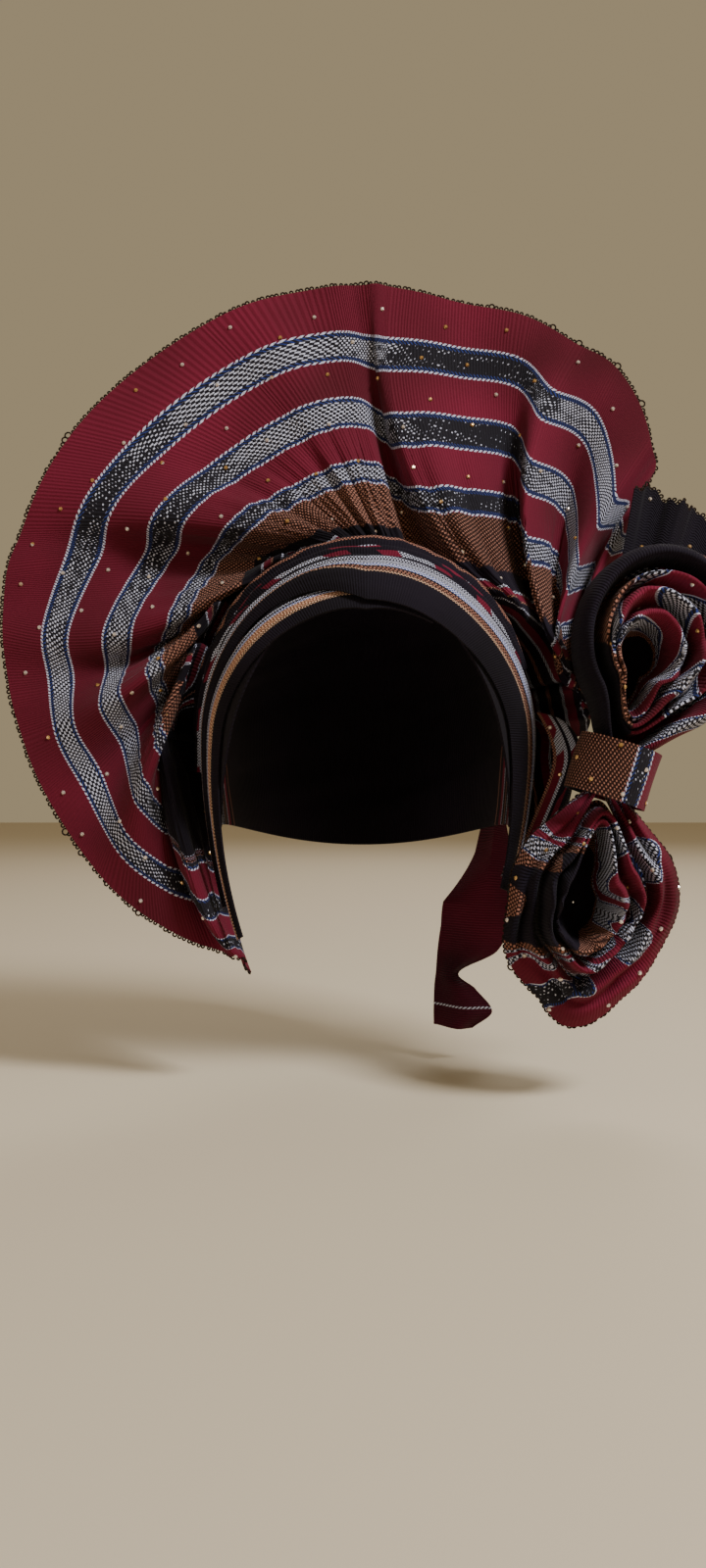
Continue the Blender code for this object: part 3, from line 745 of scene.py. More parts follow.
fan_places = np.linspace(0, len(FOLDS) - 1, (len(FOLDS) - 1) * FAN_STEPS + 1)
fan_share = np.linspace(0, (COARSE_ROWS + 1) / (COARSE_ROWS - 1), FAN_ROWS)
fan_surface = smooth_rim(fan_grid(fan_places, FAN_ROWS), fan_share)
fan_surface = fan_surface + fan_creases(fan_surface, fan_places, fan_share)
rim_length = lengths_along(fan_surface, 0)[:, 0]
turned_back = ease((TURNED_FOLDS - fan_places) / 1.5)[:, None] * ease(
    (fan_share - TURNED_FROM) / 0.03
)
fan_across = fan_share * FAN_LENGTH / 1000 + TURNED_BY * turned_back
fan_map = np.stack(np.broadcast_arrays(rim_length[:, None], fan_across), -1)
fan_pale = smooth_between(np.array(FOLDS)[:, 9], fan_places)[:, None]
fan = cloth_wall("fan", fan_surface, fan_map, fan_pale, fan_cloth, thickness=FAN_CLOTH)
fan_flat = (float(rim_length[-1]), FAN_LENGTH / 1000 * float(fan_share[-1]))
settle(fan, "fan", fan_flat)

# %% [markdown]
# ## The pleats round the face
# Two folded edges frame the face. The left one comes up from the jaw and runs over the forehead;
# the right one crosses over it there and goes down to the bow. A band table says at each turn
# where a pleat starts beyond the face's edge, how wide it is, and how far it stands off the head.
# The last column is the share of its width that shows the woven strip.

# %% Bands
Opening = namedtuple("Opening", "turn spread")
FACE_EDGE = (
    Opening(0, 34),
    Opening(30, 38.5),
    Opening(60, 48),
    Opening(90, 60),
    Opening(127, 69),
    Opening(151, 68),
    Opening(162, 63),
)
Band = namedtuple("Band", "turn start width base lift strip")
LEFT_BAND = (
    Band(-150, 0.02, 0.16, 0.02, 0.25, 0.35),
    Band(-135, 0.02, 0.22, 0.02, 0.32, 0.40),
    Band(-105, 0.02, 0.42, 0.02, 0.45, 0.46),
    Band(-75, 0.02, 0.55, 0.02, 0.50, 0.52),
    Band(-45, 0.02, 0.66, 0.02, 0.40, 0.60),
    Band(-20, 0.02, 0.60, 0.02, 0.20, 0.50),
    Band(5, 0.02, 0.46, 0.02, 0.12, 0.30),
    Band(32, 0.02, 0.30, 0.02, 0.08, 0.20),
)
RIGHT_BAND = (
    Band(-143, 0.36, 0.16, 0.20, 0.45, 0.14),
    Band(-110, 0.60, 0.24, 0.30, 0.62, 0.14),
    Band(-75, 0.72, 0.24, 0.40, 0.72, 0.14),
    Band(-45, 0.82, 0.24, 0.45, 0.80, 0.12),
    Band(-22, 0.62, 0.42, 0.42, 0.92, 0.10),
    Band(0, 0.16, 0.86, 0.36, 1.00, 0.34),
    Band(25, 0.04, 1.00, 0.28, 0.95, 0.42),
    Band(48, 0.02, 1.00, 0.06, 0.95, 0.48),
    Band(95, 0.02, 1.00, 0.02, 1.00, 0.50),
    Band(120, 0.02, 0.62, 0.02, 0.80, 0.50),
    Band(140, 0.02, 0.34, 0.02, 0.50, 0.50),
)
Ridge = namedtuple("Ridge", "across lift")
PLEAT_SECTION = (
    Ridge(0.00, 0.00),
    Ridge(0.30, 0.48),
    Ridge(0.70, 0.86),
    Ridge(1.00, 1.00),
    Ridge(1.10, 0.62),
)
STRIP = 9.5


# %% [markdown]
# Each pleat shows its own strip, read from its outer edge inwards, and then plain navy up to the
# face. White checks edge both, a peach or tan band runs inside, and dark checks close it.

# %% The edging cloth
LEFT_EDGING = (
    (0.0, "white checks"),
    (1.5, "navy"),
    (2.3, "blue checks"),
    (4.0, "peach"),
    (7.9, "cream checks"),
    (STRIP, "navy"),
)
RIGHT_EDGING = (
    (0.0, "white checks"),
    (1.5, "ribbed silver"),
    (3.1, "blue checks"),
    (4.9, "navy"),
    (5.5, "tan"),
    (8.3, "cream checks"),
    (STRIP, "navy"),
)


def banded_cloth(name, rows):
    weave = Weave(name)
    return weave.finish(weave.bands(rows, weave.navy()), weave.rib)


# %% The pleats' surfaces
def face_edge(turn):
    """The spread at which the wrap's edge runs round the face, alike on both sides."""
    return smooth_table(FACE_EDGE, np.abs(turn))[..., 0]


def pleat_grid(band, steps, rows):
    """A pleat: its section is carried along the turns of its band."""
    turns = np.linspace(band[0].turn, band[-1].turn, steps)[:, None]
    start, width, base, crest, strip = np.moveaxis(smooth_table(band, turns), -1, 0)
    places = np.linspace(0, len(PLEAT_SECTION) - 1, rows)
    across, height = smooth_between(PLEAT_SECTION, places).T
    spread = face_edge(turns) + PLEAT_SPREAD * (start + width * across)
    folds = 0.035 * np.sin(14 * across + 0.02 * turns) * bell((across - 0.6) / 0.5)
    rise = base + (crest - base) * (height + folds)
    lift = UNDER_LIFT + CLOTH + GAP + PLEAT_LIFT * rise
    return on_head(turns + 0 * spread, spread, lift), across, width, strip


def pleat_map(grid, across, width, strip):
    """Metres of cloth: the strip keeps its pattern whole, and the plain part takes the rest."""
    metres = np.radians(PLEAT_SPREAD * width) * HEAD_WIDTH * 0.6
    from_crest = 1 - across
    in_strip = from_crest / strip * STRIP / 1000
    beyond = STRIP / 1000 + (from_crest - strip) * metres
    down = np.where(from_crest < strip, in_strip, beyond)
    length = lengths_along(grid, 0)[:, -1:]
    return np.stack(np.broadcast_arrays(length, down), -1)


PLEATS = (
    ("left_pleat", LEFT_BAND, 260, banded_cloth("left_edging", LEFT_EDGING)),
    ("right_pleat", RIGHT_BAND, 320, banded_cloth("right_edging", RIGHT_EDGING)),
)
for name, band, steps, edging in PLEATS:
    pleat_surface, *shape = pleat_grid(band, steps, 25)
    pleat_cloth = pleat_map(pleat_surface, *shape)
    pleat = cloth_wall(name, pleat_surface, pleat_cloth, 0.9, edging)
    settle(pleat, name, mean_lengths(pleat_surface))

# %% [markdown]
# ## The narrow pleats over the crown
# Behind the two edges the cloth lies in narrow ridges. The stripes cross them at a slant, so red,
# silver and navy follow each other along every ridge.

# %% Gathered cloth
PATCH = 58.0
PATCH_SLANT = 1.4
PATCH_WANDER = 24


def gathered_cloth(name):
    """Navy, with a red ridge between stitched lines and patches where the stripes come round."""
    weave = Weave(name)
    wander = (weave.noise(30) - 0.5) * PATCH_WANDER
    patch = (weave.thread + weave.across * PATCH_SLANT + wander).zigzag(PATCH)
    silver = weave.checks(SILVER, SLATE)
    red, navy = weave.red(), weave.navy()
    first = patch.rises(0.84, 0.02).tint(red, silver)
    second = patch.rises(0.25, 0.02).tint(navy, red)
    second = patch.rises(0.62, 0.02).tint(second, silver)
    third = (1.0 - patch).rises(0.55, 0.02).tint(navy, red)
    rows = (
        (0.0, "brown checks"),
        (1.6, "first"),
        (5.2, "white checks"),
        (6.8, "navy"),
        (8.4, "second"),
        (11.6, "navy"),
        (13.0, "third"),
        (15.4, "white checks"),
        (16.4, "navy"),
        (20.0, "brown checks"),
        (21.2, "navy"),
        (25.0, "white checks"),
        (26.2, "red"),
        (30.0, "navy"),
        (34.0, "brown checks"),
        (35.2, "navy"),
    )
    ridges = {"navy": navy, "red": red, "first": first, "second": second, "third": third}
    return weave.finish(weave.bands(rows, navy, ridges), weave.rib)


gathered = gathered_cloth("gathered_cloth")

# %% Crown pleats
CROWN_SECTION = (
    Ridge(0.00, 0.04),
    Ridge(0.14, 0.60),
    Ridge(0.24, 0.44),
    Ridge(0.38, 0.80),
    Ridge(0.50, 0.56),
    Ridge(0.66, 0.95),
    Ridge(0.80, 0.80),
    Ridge(1.00, 0.04),
)


def crown_start(turns):
    """The spread at which the pleats behind the brow pleats start."""
    rows = [
        (row.turn, row.start + PLEAT_SECTION[-1].across * row.width + PLEAT_SPACE)
        for row in RIGHT_BAND
    ]
    return face_edge(turns) + smooth_table(rows, turns)[..., 0] * PLEAT_SPREAD


turns = np.linspace(*CROWN_TURNS, 300)[:, None]
crown_places = np.linspace(0, len(CROWN_SECTION) - 1, 57)
across, height = smooth_between(CROWN_SECTION, crown_places).T
start = crown_start(turns)
room = np.minimum(CROWN_SPREAD, FAN_SEAT_SPREAD - SEAT_MARGIN - start)
wander = 0.025 * waves(turns / 60, seed=5, count=4) * np.sin(np.pi * across)
spread = start + room * (across + wander)
uneven = 1 + 0.10 * waves(turns / 45 + 0.8 * across, seed=11, count=5)
lift = UNDER_LIFT + CLOTH + CROWN_LIFT * height * np.minimum(uneven, 1.04)
crown_surface = on_head(turns + 0 * spread, spread, lift)
crown_down = lengths_along(crown_surface * [1, 0, 1], 1)
crown_along = lengths_along(crown_surface, 0)[:, 30:31]
crown_map = np.stack(np.broadcast_arrays(crown_along, crown_down), -1)
crown = cloth_wall("crown_wrap", crown_surface, crown_map, 0.6, gathered)
crown_flat = (float(crown_along[-1, 0]), mean_lengths(crown_surface)[1])
settle(crown, "crown_wrap", crown_flat)

# %% [markdown]
# ## The body of the wrap
# Under the pleats the cloth closes the crown and the back of the head. It is drawn tight, so it
# shows only shallow slanting creases. Just behind the pleats it shows the same thin bands as
# they do, and further back it is navy.

# %% Head wrap
BAND_PER_DEGREE = 0.0013
WRAP_FLAT = (0.56, 0.16)
WRAP_TOP = 0.992
WRAP_CREASE = 0.0022


def hem_height(azimuth):
    """The elevation of the wrap's lower edge: high in front, then down to low at the back."""
    share = (np.abs(azimuth) - HEM_TURNS[0]) / np.ptp(HEM_TURNS)
    return HEM_BACK + (HEM_FRONT - HEM_BACK) * (1 - ease(share))


azimuth = np.linspace(-180, 180, 240, endpoint=False)[:, None]
low = hem_height(azimuth)
up = np.linspace(0, WRAP_TOP, 60)
elevation = np.radians(low + (90 - low) * up)
around = np.radians(azimuth) + 0 * elevation
flat_part = np.cos(elevation)
direction = np.stack(
    [flat_part * np.sin(around), -flat_part * np.cos(around), np.sin(elevation)], -1
)
half_height = np.where(direction[..., 2] > 0, CROWN_RISE, JAW_DROP)
halves = np.stack(
    [0 * flat_part + HEAD_WIDTH / 2, 0 * flat_part + HEAD_LENGTH / 2, half_height], -1
)
behind = ease((np.abs(azimuth) - 95) / 40) * ease(up / 0.15)
creases = waves(np.degrees(elevation) / 38 + azimuth / 160, seed=4, count=6)
creases = WRAP_CREASE * np.maximum(creases, -0.4) * behind * ease((1 - up) / 0.25)
radius = 1 / np.linalg.norm(direction / halves, axis=-1) + UNDER_LIFT + creases
wrap_surface = direction * radius[..., None] - [0, 0, BROW_RISE]
wrap_around = np.linspace(0, WRAP_FLAT[0], len(azimuth) + 1)[:, None]
wrap_turn = np.degrees(np.arctan2(direction[..., 0], direction[..., 2]))
wrap_spread = np.degrees(np.arccos(-direction[..., 1]))
behind_pleats = (wrap_spread - crown_start(wrap_turn)) * BAND_PER_DEGREE
wrap_across = np.concatenate([behind_pleats, behind_pleats[:1]])
wrap_map = np.stack(np.broadcast_arrays(wrap_around, wrap_across), -1)
head_wrap = cloth_wall("head_wrap", wrap_surface, wrap_map, 0.5, gathered, closed=True)
settle(head_wrap, "head_wrap", WRAP_FLAT)

# %% [markdown]
# ## The bow
# Two round halves of folded cloth stand on either side of a knot. All their folds run through the
# knot, so on one side each ring of a half is drawn in towards it.

# %% The bow's places
def knot_centre():
    return np.array([BOW_SIDE, -BOW_FRONT, -KNOT_DROP])


def knot_axis():
    """The bow's own direction, from its lower half through the knot to its upper half."""
    tilt = math.radians(KNOT_TILT)
    return np.array([math.sin(tilt), 0, math.cos(tilt)])


def knot_aside():
    axis = knot_axis()
    return np.array([axis[2], 0, -axis[0]])


rosette_back = -BOW_FRONT + ROSETTE_DEPTH / 2 - 3 * BOW_CLOTH
upper_centre = np.array([BOW_SIDE + UPPER_SHIFT, rosette_back, -KNOT_DROP + UPPER_RISE])
lower_centre = np.array([BOW_SIDE + LOWER_SHIFT, rosette_back, -KNOT_DROP - LOWER_DROP])

# %% [markdown]
# The rings of each half are contours: shares of its outline, moved sideways and up by shares of
# its size, and brought forward by shares of its depth. Small waves round the ring make the folds
# uneven, as hand-pleated cloth is.

# %% Contours
Contour = namedtuple("Contour", "share side rise front")
UPPER_OUTER = (
    Contour(1.00, 0.00, 0.00, 0.00),
    Contour(0.98, 0.00, 0.00, 0.60),
    Contour(0.88, 0.00, 0.00, 0.82),
    Contour(0.80, -0.01, 0.00, 0.30),
)
UPPER_INNER = (
    Contour(0.955, 0.00, 0.00, 0.04),
    Contour(0.74, -0.01, 0.00, 0.12),
    Contour(0.69, -0.01, 0.00, 0.84),
    Contour(0.60, -0.06, -0.03, 0.50),
    Contour(0.53, -0.12, -0.06, 1.00),
    Contour(0.44, -0.15, -0.09, 0.52),
    Contour(0.38, -0.19, -0.12, 0.92),
    Contour(0.30, -0.21, -0.13, 0.60),
    Contour(0.25, -0.22, -0.14, 0.02),
    Contour(0.01, -0.22, -0.14, -0.02),
)
LOWER_OUTER = (
    Contour(1.00, 0.00, 0.00, 0.30),
    Contour(0.90, 0.00, 0.02, 0.48),
    Contour(0.80, 0.00, 0.04, 0.44),
    Contour(0.72, 0.00, 0.05, 0.64),
    Contour(0.66, 0.00, 0.06, 0.26),
)
LOWER_INNER = (
    Contour(0.72, -0.01, 0.06, -0.02),
    Contour(0.61, -0.01, 0.06, 0.11),
    Contour(0.53, -0.02, 0.05, 0.90),
    Contour(0.44, -0.04, 0.04, 0.50),
    Contour(0.36, -0.08, 0.03, 0.94),
    Contour(0.24, -0.14, 0.05, 0.06),
    Contour(0.01, -0.14, 0.05, 0.00),
)
Radius = namedtuple("Radius", "turn reach")
LOWER_OUTLINE = (
    Radius(0, 0.93),
    Radius(42, 0.98),
    Radius(80, 0.92),
    Radius(120, 0.82),
    Radius(160, 0.96),
    Radius(190, 1.22),
    Radius(212, 1.04),
    Radius(240, 0.98),
    Radius(272, 0.84),
    Radius(305, 0.90),
    Radius(332, 0.98),
)


def round_outline(turn):
    return np.ones_like(turn)


def cornered_outline(turn):
    rows = np.array(LOWER_OUTLINE + (Radius(360, LOWER_OUTLINE[0].reach),), float)
    place = np.interp(turn, rows[:, 0], np.arange(len(rows)))
    return smooth_between(rows[:-1, 1:], place, closed=True)[:, 0]


# %% Rings of folds
WAIST_SPREAD = 0.27
FANNING = 1.6
WAIST_HOLLOW = 0.34
Rings = namedtuple("Rings", "contours waist steps rows ruffle seed")


def rosette_grid(centre, size, outline, rings):
    """Nested rings, drawn in to the knot by the share waist.

    A smooth curve runs through the contours from the outside in, and uneven waves of the height
    ruffle run round the rings. The innermost rings stay round, so that they close the hollow.
    """
    contours, waist, steps, rows, ruffle, seed = rings
    above = 1 if centre[2] > -KNOT_DROP else -1
    towards = knot_centre() - centre
    knot_turn = math.degrees(math.atan2(towards[0], towards[2])) % 360
    around = np.linspace(0, 360, steps, endpoint=False)
    turn = (knot_turn + around) % 360
    places = np.linspace(0, len(contours) - 1, rows)
    share, side, rise, front = smooth_between(contours, places).T
    ring_wave = np.sin(np.radians(around))[:, None] * waves(
        around[:, None] / 150 + 1.5 * share, seed=seed, count=6
    )
    inner = bell((places / places[-1] - 0.5) / 0.52)
    front = front + ruffle * ring_wave * inner
    share = share + 0.25 * ruffle * np.roll(ring_wave, steps // 7, 0) * inner
    radius = outline(turn)[:, None] * share
    angle = np.radians(turn)[:, None]
    x = centre[0] + size[0] / 2 * (radius * np.sin(angle) + side)
    z = centre[2] + size[1] / 2 * (radius * np.cos(angle) + rise)
    y = centre[1] - ROSETTE_DEPTH * front + 0 * x
    ring = np.stack([x, y, z], -1)
    apart = (turn - knot_turn + 180) % 360 - 180
    pull = waist * (bell(apart / WAIST_REACH)[:, None] * ease(share / WAIST_HOLLOW))[..., None]
    inset = KNOT_WIDTH * (WAIST_INSET + WAIST_SPACING * (1 - share))
    beside = np.clip(FANNING * apart / WAIST_REACH, -1, 1)[:, None, None]
    target = knot_centre() + above * knot_axis() * inset[..., None]
    target = target - above * beside * WAIST_SPREAD * KNOT_LENGTH * knot_aside()
    half_depth = KNOT_DEPTH / 2 - BOW_CLOTH - GAP
    behind_front = np.maximum(front - front[:, :1], 0)
    target[..., 1] += half_depth * (1 - WAIST_FOLD * behind_front)
    return ring + (target - ring) * pull, share[0]


def ring_length(grid):
    """The distance round each ring, with one row more than the grid so that it closes."""
    return lengths_along(np.concatenate([grid, grid[:1]]), 0)


# %% [markdown]
# On the upper half the stripes cross the folds: round each ring the cloth goes from navy at the
# knot over tan and silver to red. The outer rings start further back in the navy, and the hollow
# starts deep in the navy so that it stays dark: painted shade.

# %% Upper half
UPPER_SIZE = (UPPER_WIDTH, UPPER_HEIGHT)
UPPER_PACE = 0.75
Start = namedtuple("Start", "share across")
UPPER_OUTER_STARTS = (
    Start(0.00, 0.235),
    Start(1.00, 0.235),
)
# The innermost rings start deep in the navy: painted shade that keeps the hollow dark.
UPPER_INNER_STARTS = (
    Start(0.00, 0.200),
    Start(0.18, 0.200),
    Start(0.26, 0.140),
    Start(0.38, 0.130),
    Start(0.53, 0.128),
    Start(0.69, 0.162),
    Start(1.00, 0.175),
)


def upper_piece(name, rings, starts, pale):
    """One piece of the upper half. At the knot each ring starts at its own distance in starts."""
    grid, shares = rosette_grid(upper_centre, UPPER_SIZE, round_outline, rings)
    length = ring_length(grid)
    down = np.concatenate([lengths_along(grid, 1)] * 2)[: len(length)]
    across = smooth_table(starts, shares)[:, 0] - UPPER_PACE * length
    cloth_map = np.stack([down, across], -1)
    piece = cloth_wall(name, grid, cloth_map, pale, striped, closed=True)
    flat = (float(length[-1].mean()), float(down[:, -1].mean()))
    settle(piece, name, flat)
    return grid


outer_rings = Rings(UPPER_OUTER, waist=1.0, steps=200, rows=25, ruffle=0.05, seed=31)
inner_rings = Rings(UPPER_INNER, waist=0.62, steps=200, rows=90, ruffle=0.14, seed=32)
upper_piece(
    "upper_loop_outer", outer_rings, UPPER_OUTER_STARTS, 0.8
)
upper_surface = upper_piece(
    "upper_loop_inner", inner_rings, UPPER_INNER_STARTS, 0.85
)

# %% [markdown]
# The lower half hangs, and there the cloth's bands run across the folds in no simple order. A
# table says which distance from the rim lies at which place of the bunch, seen from the front,
# and each point takes a mean of them, weighted by how near they are.

# %% Lower half
LOWER_SIZES = (2 * LOWER_SIZE, 2 * LOWER_SIZE)
SPOT_SIZE = 0.002
SPOT_POWER = 4
# How far back, and by how much, the hollow's painted shade moves the bands into the navy.
HOLLOW_SHADE_FRONT = 0.20
HOLLOW_SHADE_BY = 0.06
FOOT_DROP = 0.028
Spot = namedtuple("Spot", "side rise across")
LOWER_COLOURS = (
    Spot(-0.013, -0.052, 0.042),
    Spot(-0.004, -0.045, 0.042),
    Spot(0.010, -0.040, 0.044),
    Spot(-0.028, -0.041, 0.028),
    Spot(-0.016, -0.037, 0.028),
    Spot(-0.004, -0.035, 0.030),
    Spot(0.006, -0.034, 0.038),
    Spot(0.020, -0.032, 0.044),
    Spot(-0.030, -0.026, 0.045),
    Spot(-0.010, -0.026, 0.045),
    Spot(0.008, -0.025, 0.046),
    Spot(0.021, -0.012, 0.062),
    Spot(0.014, -0.018, 0.062),
    Spot(0.012, -0.009, 0.062),
    Spot(0.006, -0.012, 0.112),
    Spot(0.000, -0.016, 0.114),
    Spot(-0.010, -0.012, 0.145),
    Spot(0.009, -0.001, 0.096),
    Spot(-0.009, 0.004, 0.150),
    Spot(-0.018, 0.006, 0.150),
    Spot(-0.028, 0.012, 0.148),
    Spot(-0.026, 0.000, 0.146),
    Spot(-0.036, 0.004, 0.116),
    Spot(-0.034, -0.010, 0.140),
    Spot(-0.024, -0.014, 0.135),
    Spot(-0.022, 0.028, 0.096),
    Spot(-0.010, 0.022, 0.140),
    Spot(-0.015, 0.038, 0.046),
    Spot(0.000, 0.046, 0.046),
    Spot(0.009, 0.032, 0.060),
    Spot(0.012, 0.012, 0.045),
    Spot(0.023, 0.028, 0.028),
    Spot(0.026, 0.018, 0.030),
    Spot(0.028, 0.004, 0.044),
    Spot(0.030, -0.006, 0.044),
    Spot(0.030, -0.022, 0.044),
    Spot(0.038, 0.000, 0.044),
    Spot(0.039, 0.020, 0.044),
    Spot(0.028, 0.040, 0.044),
)


def band_places(grid, centre, spots):
    """Which distance from the rim shows at each point, with the way along the bands."""
    side, rise, across = np.array(spots).T
    apart = np.hypot(
        grid[..., 0, None] - centre[0] - side,
        grid[..., 2, None] - centre[2] - rise,
    )
    weights = 1 / (apart + SPOT_SIZE) ** SPOT_POWER
    place = (weights * across).sum(-1) / weights.sum(-1)
    along = grid[..., 0] + 0.5 * grid[..., 2] + 0.3 * grid[..., 1]
    both = np.stack([along, place], -1)
    return np.concatenate([both, both[:1]])


def lower_piece(name, rings):
    """One piece of the lower half: its deep hollow moved into the navy as painted shade, with
    darker stripes at its foot.
    """
    grid, _ = rosette_grid(lower_centre, LOWER_SIZES, cornered_outline, rings)
    cloth_map = band_places(grid, lower_centre, LOWER_COLOURS)
    front = (lower_centre[1] - grid[..., 1]) / ROSETTE_DEPTH
    # Deeper in the hollow the bands move into the navy: painted shade.
    cloth_map[:-1, :, 1] += HOLLOW_SHADE_BY * ease((HOLLOW_SHADE_FRONT - front) / 0.14)
    cloth_map[-1] = cloth_map[0]
    rise = grid[..., 2] - lower_centre[2]
    pale = 0.75 - 0.65 * ease((-FOOT_DROP - rise) / 0.010)
    piece = cloth_wall(name, grid, cloth_map, pale, striped, closed=True)
    flat = (float(ring_length(grid)[-1].mean()), mean_lengths(grid)[1])
    settle(piece, name, flat)
    return grid


outer_rings = Rings(LOWER_OUTER, waist=1.0, steps=240, rows=44, ruffle=0.16, seed=41)
inner_rings = Rings(LOWER_INNER, waist=0.75, steps=240, rows=70, ruffle=0.16, seed=42)
lower_outer_surface = lower_piece("lower_loop_outer", outer_rings)
lower_inner_surface = lower_piece("lower_loop_inner", inner_rings)

# %% [markdown]
# ## The knot's strip
# A short strip of the cloth goes once round the bow's waist. Its front shows the tan band, the
# last stripe and some red, with the tan and stripes darkened as painted shade.

# %% Knot strip
Round = namedtuple("Round", "angle across")
KNOT_COLOURS = (
    Round(-180, 0.150),
    Round(-88, 0.1275),
    Round(12, 0.1025),
    Round(41, 0.089),
    Round(90, 0.078),
    Round(180, 0.073),
)
degrees = np.linspace(-180, 180, 161)[:, None]
angle = np.radians(degrees[:-1])
across = np.linspace(-0.5, 0.5, 24)[None, :]
bulge = 1 + 0.03 * np.sin(3 * angle) * np.cos(np.pi * across)
ring = np.sin(angle)[..., None] * knot_aside() * KNOT_LENGTH / 2
ring = ring - np.cos(angle)[..., None] * np.array([0, 1, 0]) * KNOT_DEPTH / 2
ring = knot_centre() + ring * bulge[..., None]
knot_surface = ring + across[..., None] * knot_axis() * KNOT_WIDTH
band_place = np.interp(degrees, *np.array(KNOT_COLOURS).T)
knot_map = np.stack(np.broadcast_arrays(across * KNOT_WIDTH, band_place), -1)
# Pale share 0.1: the knot's tan and stripes are darkened as painted shade.
knot = cloth_wall("knot_band", knot_surface, knot_map, 0.1, striped, closed=True)
knot_flat = (float(ring_length(knot_surface)[-1].mean()), KNOT_WIDTH)
settle(knot, "knot_band", knot_flat)

# %% [markdown]
# ## The gathers at the right, the loose end and the tail
# At the right the wrap is drawn out to the knot. A dark end stands up behind the bow, and a red
# one, darkened as painted shade, hangs behind the jaw.

# %% Sizes of these three
SIDE_SPREAD = 30.0
SIDE_TURNS = (80.0, 137.0)
SIDE_RIDGES = 3
SIDE_BULGE = 0.028
SIDE_ROOT_ANGLE = -130.0
SIDE_PLUMP = 0.32
KNOT_TURN = 103.0
KNOT_PULL_TURN = 44.0
KNOT_PULL_WIDTH = 0.7
END_WIDTH = 0.046
END_HEIGHT = 0.125
END_WAIST = 0.30
END_SLOPE = 0.10
END_CROWN = 0.05
END_FOLD = 0.004
END_LEAN = 0.038
END_BACK = 0.018
END_FRAY = 0.004
END_ACROSS = 0.29
TAIL_SEAT = (118.0, 108.0)
TAIL_WIDTH = 0.045
TAIL_LENGTH = 0.120
TAIL_LINE = 0.90
TAIL_FOLD = 0.004
TAIL_BACK = 0.5
TAIL_FORWARD = 0.3
TAIL_WRAP = 20.0
TAIL_TURN = 34.0
TAIL_FREE = 0.5
TAIL_HELD = (0.25, 0.45)


# %% Side gathers
def side_root():
    """The point behind the knot where the gathers of the right side meet its strip."""
    angle = math.radians(SIDE_ROOT_ANGLE)
    outward = knot_aside() * math.sin(angle) * KNOT_LENGTH / 2
    outward = outward - np.array([0, 1, 0]) * math.cos(angle) * KNOT_DEPTH / 2
    away = outward / np.linalg.norm(outward) * (BOW_CLOTH + GAP)
    return knot_centre() + outward + away


turns = np.linspace(*SIDE_TURNS, 120)[:, None]
across = np.linspace(0, 1, 80)
start = crown_start(turns)
room = np.minimum(SIDE_SPREAD, FAN_SEAT_SPREAD - SEAT_MARGIN - start)
spread = start + room * across
ridges = 0.5 - 0.5 * np.cos(2 * np.pi * (SIDE_RIDGES * across + 0.1 * np.sin(turns / 9)))
ridges = ridges + 0.5 * waves(across + turns / 400, seed=9, count=4, longest=0.3)
plump = bell((turns - np.mean(SIDE_TURNS)) / (np.ptp(SIDE_TURNS) / 2)) ** SIDE_PLUMP
swell = SIDE_BULGE * np.sin(np.pi * across**0.8) + CROWN_LIFT * (0.2 + 0.35 * ridges)
lift = UNDER_LIFT + 1.5 * BOW_CLOTH + plump * swell
lying = on_head(turns + 0 * spread, spread, lift)
towards = (turns - KNOT_TURN) / KNOT_PULL_TURN
pull = bell(towards) * bell((across - 1 / 3) / KNOT_PULL_WIDTH)
fanned = np.clip(FANNING * towards, -1, 1)[..., None] * knot_axis() * KNOT_WIDTH * 0.8
side_surface = lying + (side_root() - fanned - lying) * (pull**0.9)[..., None]
side_down = lengths_along(side_surface * [1, 0.3, 1], 1)
side_along = lengths_along(side_surface, 0)[:, 40:41]
side_map = np.stack(np.broadcast_arrays(side_along, side_down), -1)
side = cloth_wall("side_folds", side_surface, side_map, 0.4, gathered)
side_flat = mean_lengths(side_surface)
settle(side, "side_folds", side_flat)

# %% Loose end behind the bow
plain = banded_cloth("plain_cloth", ())
up = np.linspace(0, 1, 60)[:, None]
across = np.linspace(-1, 1, 50)[None, :]
half = END_WIDTH / 2 * (END_WAIST + (1 - END_WAIST) * up**0.7)
root = knot_centre() + knot_axis() * KNOT_WIDTH * 0.4
back = KNOT_DEPTH / 2 + BOW_CLOTH + GAP
frayed = END_FRAY * waves(across, seed=13, count=5, longest=0.9) * up**3
x = root[0] + half * across + END_LEAN * up
y = root[1] + back + (END_BACK - END_FOLD * np.cos(2 * np.pi * across)) * up + 0 * x
z = root[2] + END_HEIGHT * up * (1 - END_SLOPE * across - END_CROWN * across**2) + frayed
end_surface = np.stack([x, y, z], -1)
end_down = lengths_along(end_surface, 0)
end_map = np.stack(
    np.broadcast_arrays(lengths_along(end_surface, 1)[-1:], END_ACROSS - end_down), -1
)
bow_end = cloth_wall("bow_end", end_surface, end_map, 0.5, plain)
end_flat = mean_lengths(end_surface)[::-1]
settle(bow_end, "bow_end", end_flat)

# %% Tail behind the jaw
def shaded_tail_cloth(name):
    """Red darkened towards navy as painted shade, with one stitched line across the lower lobe."""
    weave = Weave(name)
    # The red is mixed towards navy all over: painted shade on the tail.
    red = (weave.noise(18).rises(0.3, 0.4) * 0.5 + weave.rib * 0.2).tint(NAVY, RED)
    line = weave.rope(weave.across - 1000 * TAIL_LENGTH * TAIL_LINE, red)
    return weave.finish(line, weave.rib)


